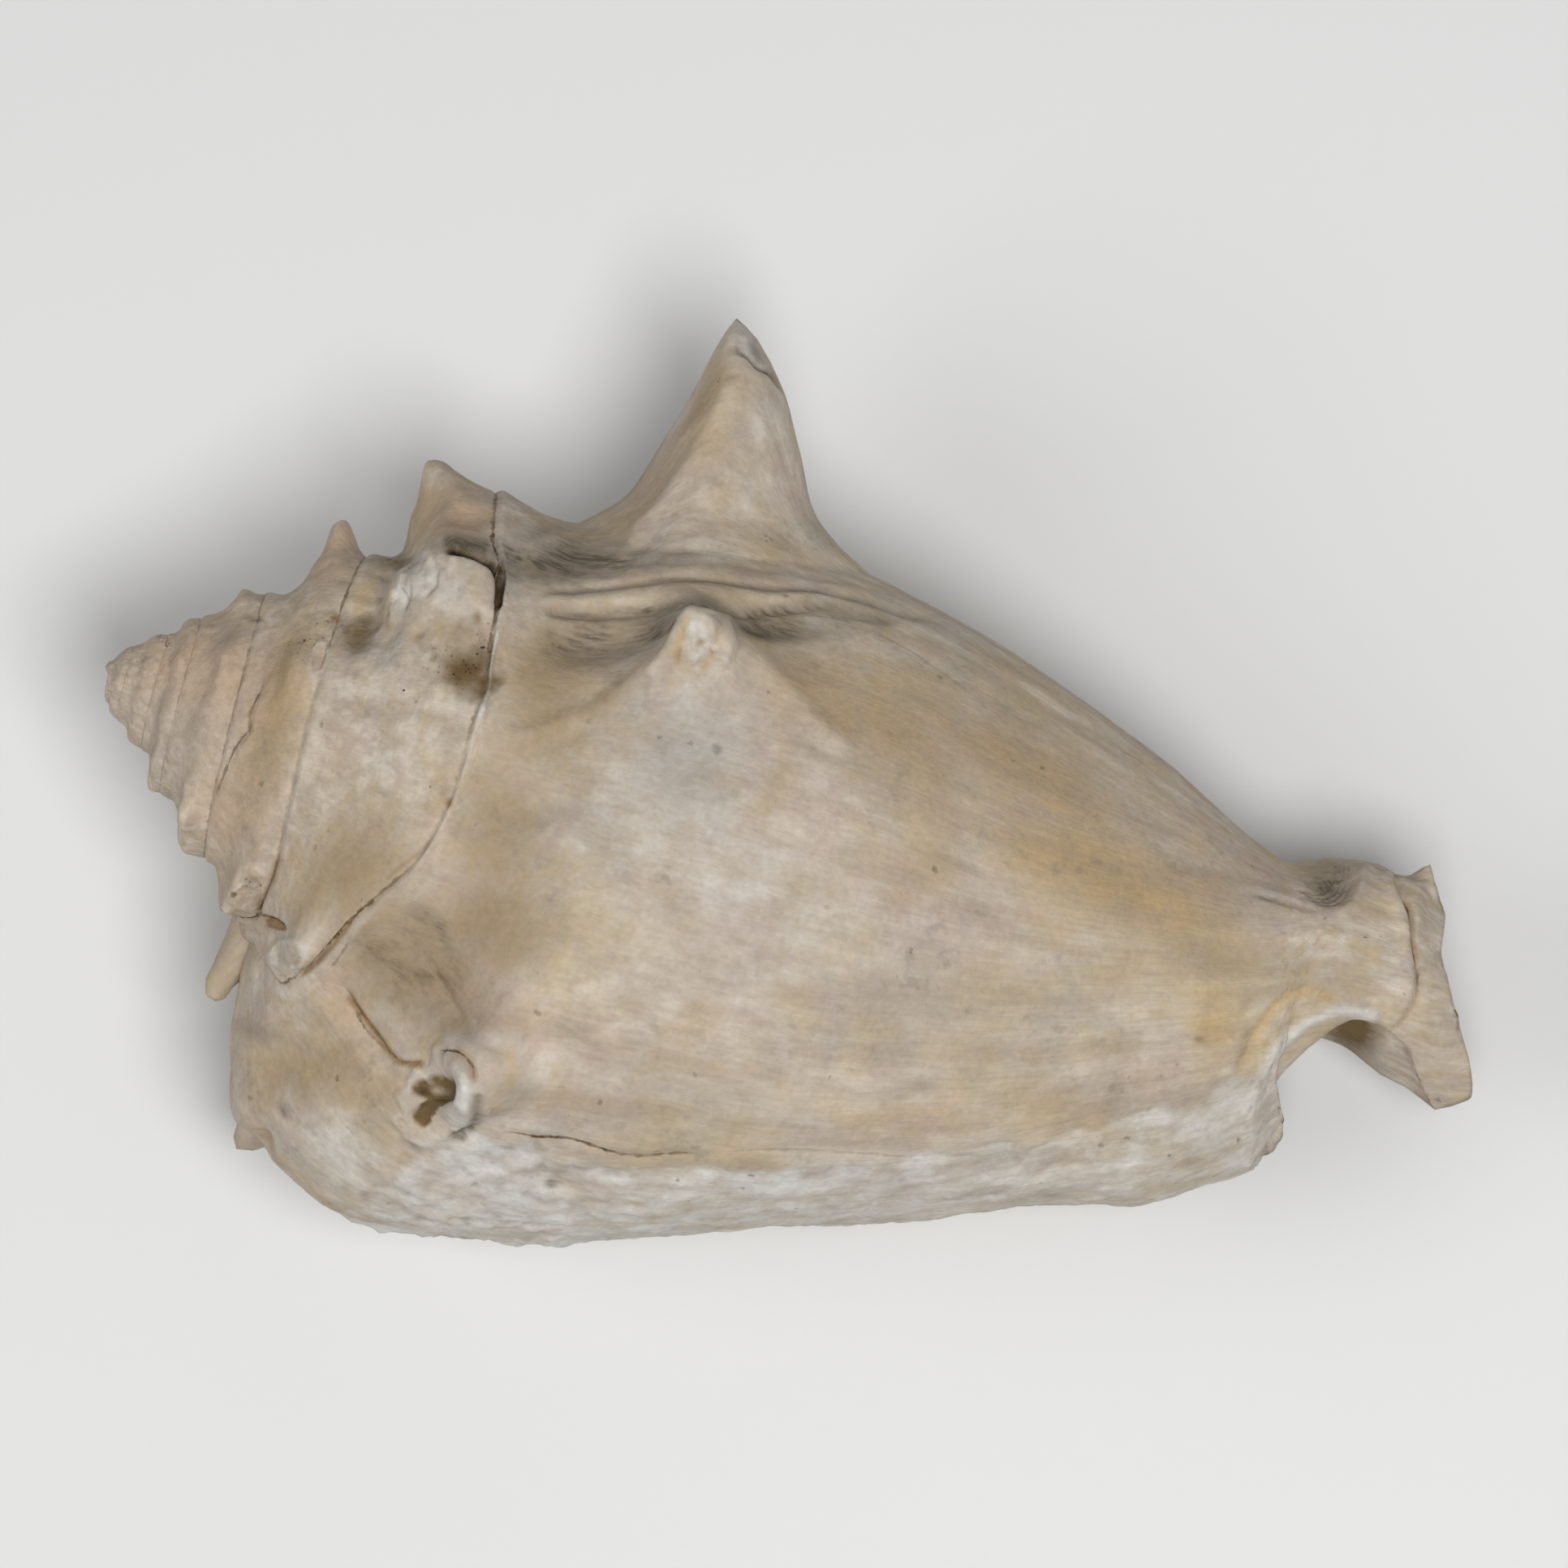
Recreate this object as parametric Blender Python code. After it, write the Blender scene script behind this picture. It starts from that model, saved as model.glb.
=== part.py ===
"""A worn fossil shell of a large sea snail, lying on the side of its opening.

The shell is one closed solid. It is a tube that grew round a straight coil axis: a low spire of
six and a half whorls with a row of knobs on each, a last whorl three times as long as the spire,
with spines on its shoulder, a thick outer lip, a long slit of an opening, and a canal with a
rounded notch at the front end. Sizes below are in millimetres. They are measured along the coil
axis from the apex, and outwards from the coil axis. Angles run round it in turns of growth: 0 is
the place on the outer lip that is lowest in the view of the shell's back, -0.25 is the middle of
the back, -0.5 is the side with the longest spine, and -1 is one whorl before the lip.
"""

import math

import bmesh
import bpy
import numpy as np
from mathutils import Matrix, Vector

MM = 0.001

# Where the whorls start and end, in turns, and the step where each whorl overlaps the one before
SPIRE_START = -6.6
LAST_WHORL_START = -0.9
LAST_WHORL_END = 0.1
SUTURE_STEP = 0.8
SUTURE_STEP_LINE = 0.4

# At rest the shell lies on its belly and its lip: the coil axis is rolled and pitched, the apex is
# so far from the middle of the footprint, and what stood lower than the floor is worn flat
REST_ROLL = math.radians(7.4)
REST_PITCH = math.radians(7.6)
APEX_AT_REST = (-65.79, -2.78, 31.50)

SHELL_COLOUR = (0.62, 0.53, 0.42, 1.0)

# The line where each whorl meets the one before: turn, distance along the axis, radius
SUTURE = [
    (-6.6, 0.2, 0.9), (-6.0, 1.0, 2.2), (-5.5, 2.25, 3.15), (-5.0, 2.6, 3.5),
    (-4.5, 5.0, 5.1), (-4.0, 5.5, 5.6), (-3.5, 7.5, 7.35), (-3.0, 8.25, 9.0),
    (-2.5, 12.4, 11.25), (-2.0, 14.0, 13.7), (-1.5, 20.6, 17.25), (-1.35, 20.0, 17.7), (-1.25, 20.1, 18.0),
    (-1.13, 20.9, 18.4), (-1.06, 20.3, 18.5), (-1.0, 17.9, 18.1), (-0.94, 20.8, 19.4), (-0.9, 22.3, 20.2),
    (-0.75, 25.1, 22.8), (-0.5, 30.4, 26.1), (-0.375, 33.3, 26.0), (-0.25, 34.5, 25.9), (-0.205, 33.4, 26.0),
    (-0.158, 29.1, 26.3),
    (-0.09, 24.9, 26.2), (-0.06, 22.6, 23.2), (-0.03, 20.6, 20.4), (0.0, 20.0, 20.0), (0.1, 23.8, 25.5),
]

# The outline of a spire whorl between its two sutures, as shares of the steps along and outwards
WHORL_OUTLINE = [(0.0, 0.0), (0.22, 0.04), (0.40, 0.30), (0.54, 0.80), (0.70, 1.0), (1.0, 1.0)]
FLAT_OUTLINE = [(0.0, 0.0), (0.18, 0.21), (0.36, 0.42), (0.54, 0.61), (0.74, 0.80), (1.0, 1.0)]
# How flat the sides of the spire are by turn: 0 where it carries knobs, 1 on the plain stretches
FLATNESS = [
    (-6.6, 0.6), (-4.3, 0.5), (-4.0, 0.1), (-3.8, 0.7), (-3.2, 0.7), (-3.0, 0.1), (-2.8, 0.6), (-2.5, 0.0),
    (-2.4, 0.6), (-2.2, 1.0), (-2.1, 0.7), (-2.0, 0.1), (-1.6, 0.1), (-1.5, 0.0), (-1.38, 0.0), (-1.29, 1.0),
    (-1.12, 1.0), (-1.04, 0.6), (-0.95, 0.0), (0.1, 0.0),
]

# Lines that run round the last whorl, from the suture to the tip of the canal
LAST_WHORL = [
    ("suture", []),
    ("upper ramp", [(-0.75, 27.0, 22.9), (-0.5, 32.8, 25.7), (-0.25, 36.4, 25.8),
                    (-0.158, 32.5, 26.8), (-0.09, 27.5, 28.0), (0.0, 20.6, 28.2), (0.1, 22.5, 28.0)]),
    ("lower ramp", [(-0.75, 29.5, 23.4), (-0.5, 37.0, 25.3), (-0.25, 41.0, 26.2),
                    (-0.158, 37.0, 28.4), (-0.09, 31.0, 31.0), (0.0, 21.4, 31.2), (0.1, 23.2, 31.0)]),
    ("shoulder", [(-0.75, 32.5, 25.0), (-0.5, 42.5, 26.9), (-0.25, 46.5, 27.8),
                  (-0.125, 38.0, 33.0), (0.0, 22.8, 35.5), (0.1, 25.0, 34.0)]),
    ("spines", [(-0.75, 36.5, 26.3), (-0.5, 48.0, 29.2), (-0.25, 52.0, 29.6),
                (-0.125, 42.0, 36.0), (0.0, 28.0, 39.2), (0.1, 30.0, 37.0)]),
    ("flank", [(-0.75, 42.0, 26.5), (-0.5, 54.0, 29.5), (-0.25, 57.0, 30.3),
               (-0.125, 50.0, 36.5), (0.0, 37.5, 42.4), (0.1, 38.0, 38.5)]),
    ("upper belly", [(-0.9, 33.0, 25.3), (-0.75, 50.0, 25.8), (-0.5, 62.0, 28.8), (-0.25, 64.0, 30.0),
                     (-0.125, 60.0, 35.5), (0.0, 50.0, 40.4), (0.1, 50.0, 37.5)]),
    ("belly", [(-0.9, 52.0, 21.4), (-0.75, 62.0, 24.3), (-0.5, 72.0, 27.1), (-0.25, 72.0, 29.3),
               (-0.125, 71.0, 33.5), (0.0, 65.0, 35.4), (0.1, 64.0, 33.5)]),
    ("lower belly", [(-0.9, 72.0, 18.0), (-0.75, 76.0, 21.0), (-0.5, 84.0, 23.9), (-0.25, 84.0, 25.0),
                     (-0.125, 83.0, 28.5), (0.0, 80.0, 30.2), (0.1, 80.0, 29.0)]),
    ("waist", [(-0.9, 90.0, 13.9), (-0.75, 92.0, 16.0), (-0.5, 96.0, 18.0), (-0.25, 96.0, 19.8),
               (-0.125, 96.0, 23.0), (0.0, 95.0, 25.7), (0.1, 95.0, 25.7)]),
    ("neck", [(-0.9, 104.0, 10.6), (-0.75, 104.0, 11.5), (-0.5, 105.5, 11.8), (-0.25, 106.0, 14.8),
              (-0.125, 106.0, 18.8), (0.0, 106.5, 24.0), (0.08, 107.5, 24.4)]),
    ("lip corner", [(-0.9, 110.0, 9.4), (-0.75, 110.0, 9.8), (-0.5, 110.5, 8.9), (-0.25, 111.5, 12.5),
                    (-0.125, 112.5, 15.5), (0.0, 115.0, 20.6), (0.03, 115.2, 21.0)]),
    ("lip corner, notch side", [(-0.9, 112.0, 9.5), (-0.75, 112.0, 9.5), (-0.5, 112.2, 9.0),
                                (-0.25, 113.0, 11.8), (-0.125, 113.4, 14.2), (-0.02, 116.7, 16.6)]),
    ("notch, lip side", [(-0.9, 114.0, 9.3), (-0.75, 113.5, 9.3), (-0.5, 113.8, 9.3),
                         (-0.25, 114.5, 11.0), (-0.15, 113.8, 12.5), (-0.07, 114.2, 14.0)]),
    ("notch, top", [(-0.9, 119.0, 9.3), (-0.75, 117.5, 8.8), (-0.5, 117.5, 9.3),
                    (-0.25, 119.0, 9.5), (-0.165, 119.6, 9.3)]),
    ("notch, tip side", [(-0.92, 124.5, 9.5), (-0.75, 121.5, 8.0), (-0.5, 120.3, 9.0),
                         (-0.3, 123.5, 8.0), (-0.11, 125.0, 8.0)]),
    ("tip", [(-0.978, 129.5, 11.2), (-0.908, 128.5, 6.5), (-0.728, 126.0, 3.5), (-0.58, 124.5, 6.3),
             (-0.5, 122.8, 10.0), (-0.43, 125.4, 7.2), (-0.32, 126.6, 6.2), (-0.18, 129.0, 6.5),
             (-0.035, 132.1, 9.2), (0.022, 129.5, 11.2)]),
]
RIBBON_LINES = len(WHORL_OUTLINE) - 1
LAST_LINE = len(LAST_WHORL) - 1

# The middle of the section bends away from the coil axis towards the canal: along, up, out
MIDDLE = [(0.0, 0.0, 0.0), (82.0, 0.0, 0.0), (105.0, 3.2, 1.2), (118.0, 6.3, 2.5), (140.0, 6.5, 2.5)]

# Knobs and spines: turn, line that the tip grows from, lean along, height, half width round the
# shell in turns, reach towards the apex and towards the canal in lines
SPINES = [
    (-0.50, 4.0, -0.9, 18.8, 0.080, 1.7, 2.4),
    (-0.347, 4.0, 0.0, 5.4, 0.048, 1.3, 1.8),
    (-0.128, 4.0, 0.5, 4.8, 0.038, 1.0, 1.2),
    (0.045, 3.4, -1.6, 4.2, 0.024, 0.7, 0.7),
    (-0.63, 4.0, 0.0, 2.5, 0.050, 1.2, 1.6),
    (-0.77, 3.6, 0.0, 2.0, 0.050, 1.0, 1.4),
    (-0.99, 2.5, -0.8, 7.6, 0.045, 2.4, 2.4),
    (-1.12, 3.4, 0.0, 2.4, 0.040, 1.5, 2.5),
    (-1.372, 2.2, -0.8, 3.8, 0.042, 1.1, 2.0),
    (-1.372, 3.8, -0.2, 2.4, 0.042, 1.4, 4.0),
    (-1.43, 3.9, 0.0, -1.3, 0.030, 1.6, 1.6),
    (-1.5, 3.4, -2.6, 1.7, 0.050, 1.5, 1.6),
    (-1.5, 2.3, -1.3, 0.9, 0.050, 1.3, 1.6),
    (-2.08, 3.4, -0.8, 2.6, 0.050, 1.4, 1.6),
    (-2.30, 3.4, 0.0, 1.6, 0.050, 1.4, 1.6),
    (-2.5, 3.4, -0.5, 2.3, 0.050, 1.4, 1.6),
    (-2.5, 4.2, 0.0, 1.2, 0.050, 1.2, 0.8),
    (-2.9, 3.4, -0.3, 1.2, 0.050, 1.4, 1.6),
    (-3.1, 3.4, -0.3, 1.2, 0.050, 1.4, 1.6),
    (-3.3, 3.4, -0.3, 1.0, 0.050, 1.4, 1.6),
    (-3.5, 3.4, -0.3, 1.0, 0.050, 1.4, 1.6),
]
SPINE_ABOVE = [(0.0, 1.0), (0.12, 0.86), (0.34, 0.5), (0.62, 0.12), (1.0, 0.0)]
SPINE_BELOW = [(0.0, 1.0), (0.15, 0.93), (0.33, 0.77), (0.55, 0.44), (0.74, 0.14), (1.0, 0.0)]

# The opening: thickness of the lip's edge and of the wall behind it, how far the hollow goes back
# as a share of the last whorl, and how much of its radius the inner wall loses, all by line
LIP_EDGE = [(5, 4.5), (9, 4.5), (10, 3.8), (11, 2.4), (12, 1.8), (13, 1.5), (14, 1.2), (15, 1.2), (16, 0.0)]
WALL = [(5, 3.0), (9, 2.8), (10, 2.4), (11, 2.0), (12, 1.8), (13, 1.7), (14, 1.8), (15, 1.4), (16, 0.0)]
HOLLOW_DEPTH = [(5, 0.34), (8, 0.38), (10, 0.40), (12, 0.42), (13, 0.42), (14, 0.36), (15, 0.28), (16, 0.20)]
INNER_LOSS = [(5, 0.20), (6, 0.50), (7, 0.85), (8, 1.0), (14, 0.9), (15, 0.8), (16, 0.8)]
SPIRAL_LOSS = [(0.0, 0.0), (0.08, 0.30), (0.25, 0.52), (0.5, 0.62), (1.0, 0.66)]
CORNER_SET_BACK = 3.0

# Facets: the columns round one turn, as spans in degrees, and the rows between the lines
COLUMN_SPANS = [(-144, -60, 8), (-60, -24, 4), (-24, 24, 10), (24, 42, 2), (42, 78, 8),
                (78, 115, 4), (115, 153, 8), (153, 180, 3), (180, 216, 8)]
ROWS_ON_RIBBON = [0, 0.4, 1.2, 2.1, 3, 3.5, 4, 4.5, 5]
ROWS_BELOW = 22
HOLLOW_COLUMNS = 14


def smooth(at, knots_at, values):
    """A monotone cubic curve through the values, read at the places given."""
    knots_at = np.asarray(knots_at, float)
    values = np.asarray(values, float)
    step = np.diff(knots_at)
    slope = np.diff(values) / step
    tangent = np.zeros(len(values))
    same = slope[:-1] * slope[1:] > 0
    before = 2 * step[1:] + step[:-1]
    after = step[1:] + 2 * step[:-1]
    mean = (before + after)[same] / (before[same] / slope[:-1][same] + after[same] / slope[1:][same])
    tangent[1:-1][same] = mean
    tangent[0] = slope[0]
    tangent[-1] = slope[-1]
    at = np.clip(at, knots_at[0], knots_at[-1])
    i = np.clip(np.searchsorted(knots_at, at, side="right") - 1, 0, len(step) - 1)
    t = (at - knots_at[i]) / step[i]
    return (
        values[i] * (1 + 2 * t) * (1 - t) ** 2
        + tangent[i] * step[i] * t * (1 - t) ** 2
        + values[i + 1] * t * t * (3 - 2 * t)
        + tangent[i + 1] * step[i] * t * t * (t - 1)
    )


def suture(turn):
    turns, along, radius = zip(*SUTURE)
    return smooth(turn, turns, along), smooth(turn, turns, radius)


def by_line(table, line):
    numbers, values = zip(*table)
    return smooth(line, numbers, values)


def blend_lines(values, line):
    """Blends values given at whole line numbers, which run down the first axis, smoothly."""
    step = np.diff(values, axis=0)
    tangent = np.zeros_like(values)
    product = step[:-1] * step[1:]
    both = step[:-1] + step[1:]
    tangent[1:-1] = np.where(product > 0, 2 * product / np.where(product > 0, both, 1.0), 0.0)
    tangent[0] = step[0]
    tangent[-1] = step[-1]
    i = np.clip(np.floor(line).astype(int), 0, len(values) - 2)
    t = line - i
    place = np.indices(line.shape)
    here = (i, *place)
    there = (i + 1, *place)
    return (
        values[here] * (1 + 2 * t) * (1 - t) ** 2
        + tangent[here] * t * (1 - t) ** 2
        + values[there] * t * t * (3 - 2 * t)
        + tangent[there] * t * t * (t - 1)
    )


def spines(turn, line, along, radius):
    """Moves points outwards where the knobs and spines stand."""
    for at_turn, at_line, lean, height, half_width, up, down in SPINES:
        along_line = (line - at_line) / np.where(line < at_line, up, down)
        away = np.minimum(np.hypot((turn - at_turn) / half_width, along_line), 1.0)
        below = 0.5 + 0.5 * np.clip(along_line / np.maximum(away, 0.01), -1.0, 1.0)
        share = by_line(SPINE_ABOVE, away) * (1 - below) + by_line(SPINE_BELOW, away) * below
        along = along + lean * share
        radius = radius + height * share
    return along, radius


def suture_step(turn, line):
    """How far a whorl stands out beside the suture, less on the small early whorls."""
    size = SUTURE_STEP * np.clip(suture(turn)[1] / 20.0, 0.0, 1.0)
    rise = np.clip(line / SUTURE_STEP_LINE, 0.0, 1.0)
    fall = np.clip((2.2 - line) / (2.2 - SUTURE_STEP_LINE), 0.0, 1.0)
    return size * rise * fall * fall * (3 - 2 * fall)


def spire_base(turn, line):
    """Along and radius on the spire without its knobs; its whorls end at the suture of the next."""
    along_up, radius_up = suture(turn)
    along_down, radius_down = suture(turn + 1)
    numbers = np.arange(len(WHORL_OUTLINE))
    flat = smooth(turn, *zip(*FLATNESS))
    step_along, step_out = zip(*WHORL_OUTLINE)
    flat_along, flat_out = zip(*FLAT_OUTLINE)
    share_along = smooth(line, numbers, step_along) * (1 - flat) + smooth(line, numbers, flat_along) * flat
    share_out = smooth(line, numbers, step_out) * (1 - flat) + smooth(line, numbers, flat_out) * flat
    along = along_up + (along_down - along_up) * share_along
    radius = radius_up + (radius_down - radius_up) * share_out
    return along, radius


def spire(turn, line):
    along, radius = spire_base(turn, line)
    return spines(turn, line, along, radius + suture_step(turn, line))


def last_whorl(share, line, with_spines=True):
    """Turn, along and radius on the last whorl, from its start to its lip."""
    found = []
    for number, (name, knots) in enumerate(LAST_WHORL):
        if number == 0:
            turn = LAST_WHORL_START + share * (LAST_WHORL_END - LAST_WHORL_START)
            found.append((turn, *suture(turn)))
            continue
        if number <= RIBBON_LINES:
            along, radius = spire_base(np.array(LAST_WHORL_START), np.array(float(number)))
            knots = [(LAST_WHORL_START, float(along), float(radius)), *knots]
        turns, along, radius = zip(*knots)
        turn = turns[0] + share * (turns[-1] - turns[0])
        found.append((turn, smooth(turn, turns, along), smooth(turn, turns, radius)))
    turn = blend_lines(np.stack([values[0] for values in found]), line)
    along = blend_lines(np.stack([values[1] for values in found]), line)
    radius = blend_lines(np.stack([values[2] for values in found]), line)
    if with_spines:
        radius = radius + suture_step(turn, line)
        along, radius = spines(turn, line, along, radius)
    return turn, along, radius


def corner(turn):
    """The line inside the suture where the hollow's outer and inner walls meet."""
    along, radius = suture(turn)
    back = np.clip((LAST_WHORL_END - turn) / 0.3, 0.0, 1.0)
    return along + CORNER_SET_BACK * back, radius + 0.3 * back


def hollow_outer_wall(back, line):
    """The inner side of the last whorl's wall, back from the lip by shares of the hollow."""
    outer_line = by_line([(5, 0.6), (5.5, 2.4), (6, 4.0), (6.5, 5.6), (7, 7.0), (16, 16.0)], line)
    share = 1.0 - back * by_line(HOLLOW_DEPTH, line)
    turn, along, radius = last_whorl(share, outer_line, with_spines=False)
    line_up = np.clip(outer_line - 0.1, 0.0, LAST_LINE)
    line_down = np.clip(outer_line + 0.1, 0.0, LAST_LINE)
    _, along_up, radius_up = last_whorl(share, line_up, with_spines=False)
    _, along_down, radius_down = last_whorl(share, line_down, with_spines=False)
    run = np.maximum(np.hypot(along_down - along_up, radius_down - radius_up), 1e-6)
    near_lip = np.clip(back / 0.25, 0.0, 1.0)
    near_lip = near_lip * near_lip * (3 - 2 * near_lip)
    thickness = by_line(LIP_EDGE, line) * (1 - near_lip) + by_line(WALL, line) * near_lip
    along = along + thickness * (radius_down - radius_up) / run
    radius = radius - thickness * (along_down - along_up) / run
    corner_along, corner_radius = corner(turn)
    at_corner = line <= RIBBON_LINES
    return turn, np.where(at_corner, corner_along, along), np.where(at_corner, corner_radius, radius)


def hollow_inner_wall(back, line):
    """The wall that the last whorl grew over, back from the opening by shares of the hollow."""
    turn_end, _, _ = last_whorl(np.ones_like(line), line)
    turn_start, along, radius = last_whorl(np.zeros_like(line), line)
    depth = (turn_end - turn_start) * by_line(HOLLOW_DEPTH, line)
    length = 1.0 - (turn_end - turn_start) + depth
    turn = turn_start - back * length
    loss = by_line(SPIRAL_LOSS, back * length) * by_line(INNER_LOSS, line)
    corner_along, corner_radius = corner(turn + 1)
    near_corner = np.clip(1.0 - (line - RIBBON_LINES) / 1.6, 0.0, 1.0)
    near_corner = near_corner * near_corner * (3 - 2 * near_corner)
    first_along, first_radius = suture(LAST_WHORL_END)
    along = along + (corner_along - first_along) * near_corner
    radius = radius * (1.0 - loss) * (1 - near_corner) + corner_radius * near_corner
    return turn, along, radius


def to_points(turn, along, radius):
    """Points of the shell, in its own axes, from turns, distances along the axis and radii."""
    angle = math.pi + 2 * math.pi * turn
    at, up, out = zip(*MIDDLE)
    return np.stack(
        [
            along,
            smooth(along, at, up) + radius * np.cos(angle),
            smooth(along, at, out) + radius * np.sin(angle),
        ],
        axis=-1,
    )


def columns_of_turn():
    """Turns of the columns of facets, closer together where the spines stand."""
    degrees = []
    for low, high, count in COLUMN_SPANS:
        degrees += [low + (high - low) * step / count for step in range(count)]
    return (np.array(degrees) - 180.0) / 360.0


def spire_sheet():
    first = columns_of_turn()
    turns = np.concatenate([first - whorl for whorl in range(6, 0, -1)] + [first[:1]])
    turns = turns[turns >= SPIRE_START]
    line, turn = np.meshgrid(np.array(ROWS_ON_RIBBON, float), turns, indexing="ij")
    return to_points(turn, *spire(turn, line))


def last_whorl_rows():
    below = np.linspace(RIBBON_LINES, LAST_LINE, ROWS_BELOW + 1)[1:]
    return np.concatenate([ROWS_ON_RIBBON, below])


def last_whorl_sheet():
    shares = np.append(columns_of_turn() - LAST_WHORL_START, 1.0)
    line, share = np.meshgrid(last_whorl_rows(), shares, indexing="ij")
    return to_points(*last_whorl(share, line))


def hollow_sheet(outer):
    """The lip's edge, the hollow's outer wall, its end and its inner wall, back to the opening."""
    rows = last_whorl_rows()
    back = np.linspace(0.0, 1.0, HOLLOW_COLUMNS) ** 1.2
    line, share = np.meshgrid(rows, back, indexing="ij")
    below = np.maximum(line, RIBBON_LINES)
    outer_wall = to_points(*hollow_outer_wall(share, below))
    inner_wall = to_points(*hollow_inner_wall(share, below))
    outer_wall[:, -1] = (outer_wall[:, -1] + inner_wall[:, -1]) / 2
    on_corner = rows <= RIBBON_LINES
    inner_wall[on_corner] = outer_wall[on_corner]
    edge = outer[:, -1:]
    outer_wall[on_corner, 0] = outer[0, -1]
    inner_wall[:, 0] = outer[:, 0]
    sheet = np.concatenate([edge, outer_wall, inner_wall[:, -2::-1]], axis=1)
    sheet[-1] = outer[-1, -1]
    return edge, sheet


def add_sheet(shell, points):
    """Adds a grid to the mesh and puts its corners on the points, row by row."""
    rows, columns = points.shape[:2]
    grid = bmesh.ops.create_grid(shell, x_segments=columns - 1, y_segments=rows - 1, size=1.0)
    for vertex in grid["verts"]:
        column = round((vertex.co.x + 1) / 2 * (columns - 1))
        row = round((vertex.co.y + 1) / 2 * (rows - 1))
        vertex.co = Vector(points[row, column]) * MM


def rest_matrix():
    """Puts the shell from its own axes down on the floor."""
    turned = Matrix.Rotation(REST_PITCH, 4, "Y") @ Matrix.Rotation(REST_ROLL, 4, "X")
    return Matrix.Translation(Vector(APEX_AT_REST) * MM) @ turned


def build_mesh():
    shell = bmesh.new()
    outer = last_whorl_sheet()
    edge, hollow = hollow_sheet(outer)
    lower = int(np.argmax(last_whorl_rows() >= RIBBON_LINES))
    add_sheet(shell, spire_sheet())
    add_sheet(shell, outer)
    add_sheet(shell, hollow[:, :2])
    add_sheet(shell, hollow[lower:, 1:])
    bmesh.ops.remove_doubles(shell, verts=shell.verts, dist=1e-6)
    bmesh.ops.dissolve_degenerate(shell, edges=shell.edges, dist=1e-6)
    bmesh.ops.holes_fill(shell, edges=shell.edges)
    bmesh.ops.recalc_face_normals(shell, faces=shell.faces)
    shell.transform(rest_matrix())
    for vertex in shell.verts:
        vertex.co.z = max(vertex.co.z, 0.0)
    return shell


def make_material():
    material = bpy.data.materials.new("shell")
    material.use_nodes = True
    surface = material.node_tree.nodes["Principled BSDF"]
    surface.inputs["Base Color"].default_value = SHELL_COLOUR
    surface.inputs["Roughness"].default_value = 0.8
    surface.inputs["Metallic"].default_value = 0.0
    return material


def main():
    for old in list(bpy.data.objects):
        bpy.data.objects.remove(old, do_unlink=True)
    collection = bpy.data.collections.new("fossil_shell")
    bpy.context.scene.collection.children.link(collection)
    shell = build_mesh()
    mesh = bpy.data.meshes.new("shell")
    shell.to_mesh(mesh)
    shell.free()
    mesh.shade_smooth()
    mesh.set_sharp_from_angle(angle=math.radians(50))
    mesh.materials.append(make_material())
    collection.objects.link(bpy.data.objects.new("shell", mesh))


main()
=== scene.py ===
"""The looks of a worn fossil conch shell that lies on its opening, on a pale floor."""

import math

import bpy
import numpy as np
from mathutils import Matrix, Vector, noise


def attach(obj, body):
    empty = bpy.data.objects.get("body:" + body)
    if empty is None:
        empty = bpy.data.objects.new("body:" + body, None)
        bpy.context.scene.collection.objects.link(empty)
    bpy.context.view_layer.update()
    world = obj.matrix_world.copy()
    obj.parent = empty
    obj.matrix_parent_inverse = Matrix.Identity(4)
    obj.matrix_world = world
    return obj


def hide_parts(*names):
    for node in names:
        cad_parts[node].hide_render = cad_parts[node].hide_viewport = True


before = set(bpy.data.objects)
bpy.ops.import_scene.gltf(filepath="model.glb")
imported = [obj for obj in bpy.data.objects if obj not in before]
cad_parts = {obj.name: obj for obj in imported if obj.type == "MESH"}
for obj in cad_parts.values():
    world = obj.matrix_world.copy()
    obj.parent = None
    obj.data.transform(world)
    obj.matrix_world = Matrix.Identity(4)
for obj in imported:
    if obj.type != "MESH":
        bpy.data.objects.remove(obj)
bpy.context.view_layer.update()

# The spire: the early whorls of a snail's shell, chalky limestone by now, wound as one ribbon round
# a straight coil axis. Millimetres along that axis from the apex and outwards from it, and turns of
# growth: 0 is the lowest place of the lip in the picture of the back, -0.5 the long spine's side
MM = 0.001
SPIRE_START = -6.6
LAST_WHORL_START = -0.9

# The line where each whorl meets the one before: turn, distance along the axis, radius
SUTURE = [
    (-6.6, 0.2, 0.9), (-6, 1, 2.2), (-5.5, 2.25, 3.15), (-5, 2.6, 3.5),
    (-4.5, 5, 5.1), (-4, 5.5, 5.6), (-3.5, 7.5, 7.35), (-3, 8.25, 9),
    (-2.5, 12.4, 11.25), (-2, 14, 13.7), (-1.5, 20.6, 17.25), (-1.35, 20, 17.7), (-1.25, 20.1, 18),
    (-1.13, 20.9, 18.4), (-1.06, 20.3, 18.5), (-1, 17.9, 18.1), (-0.94, 20.8, 19.4), (-0.9, 22.3, 20.2),
    (-0.75, 25.1, 22.8), (-0.5, 30.4, 26.1), (-0.44, 31, 26.1), (-0.405, 31.8, 26.05), (-0.375, 33.6, 26),
    (-0.25, 34.95, 25.9), (-0.205, 33.7, 26), (-0.158, 29.4, 26.3),
    (-0.09, 24.9, 26.2), (-0.06, 22.6, 23.2), (-0.03, 20.6, 20.4), (0, 20, 20), (0.1, 23.8, 25.5),
]

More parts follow.
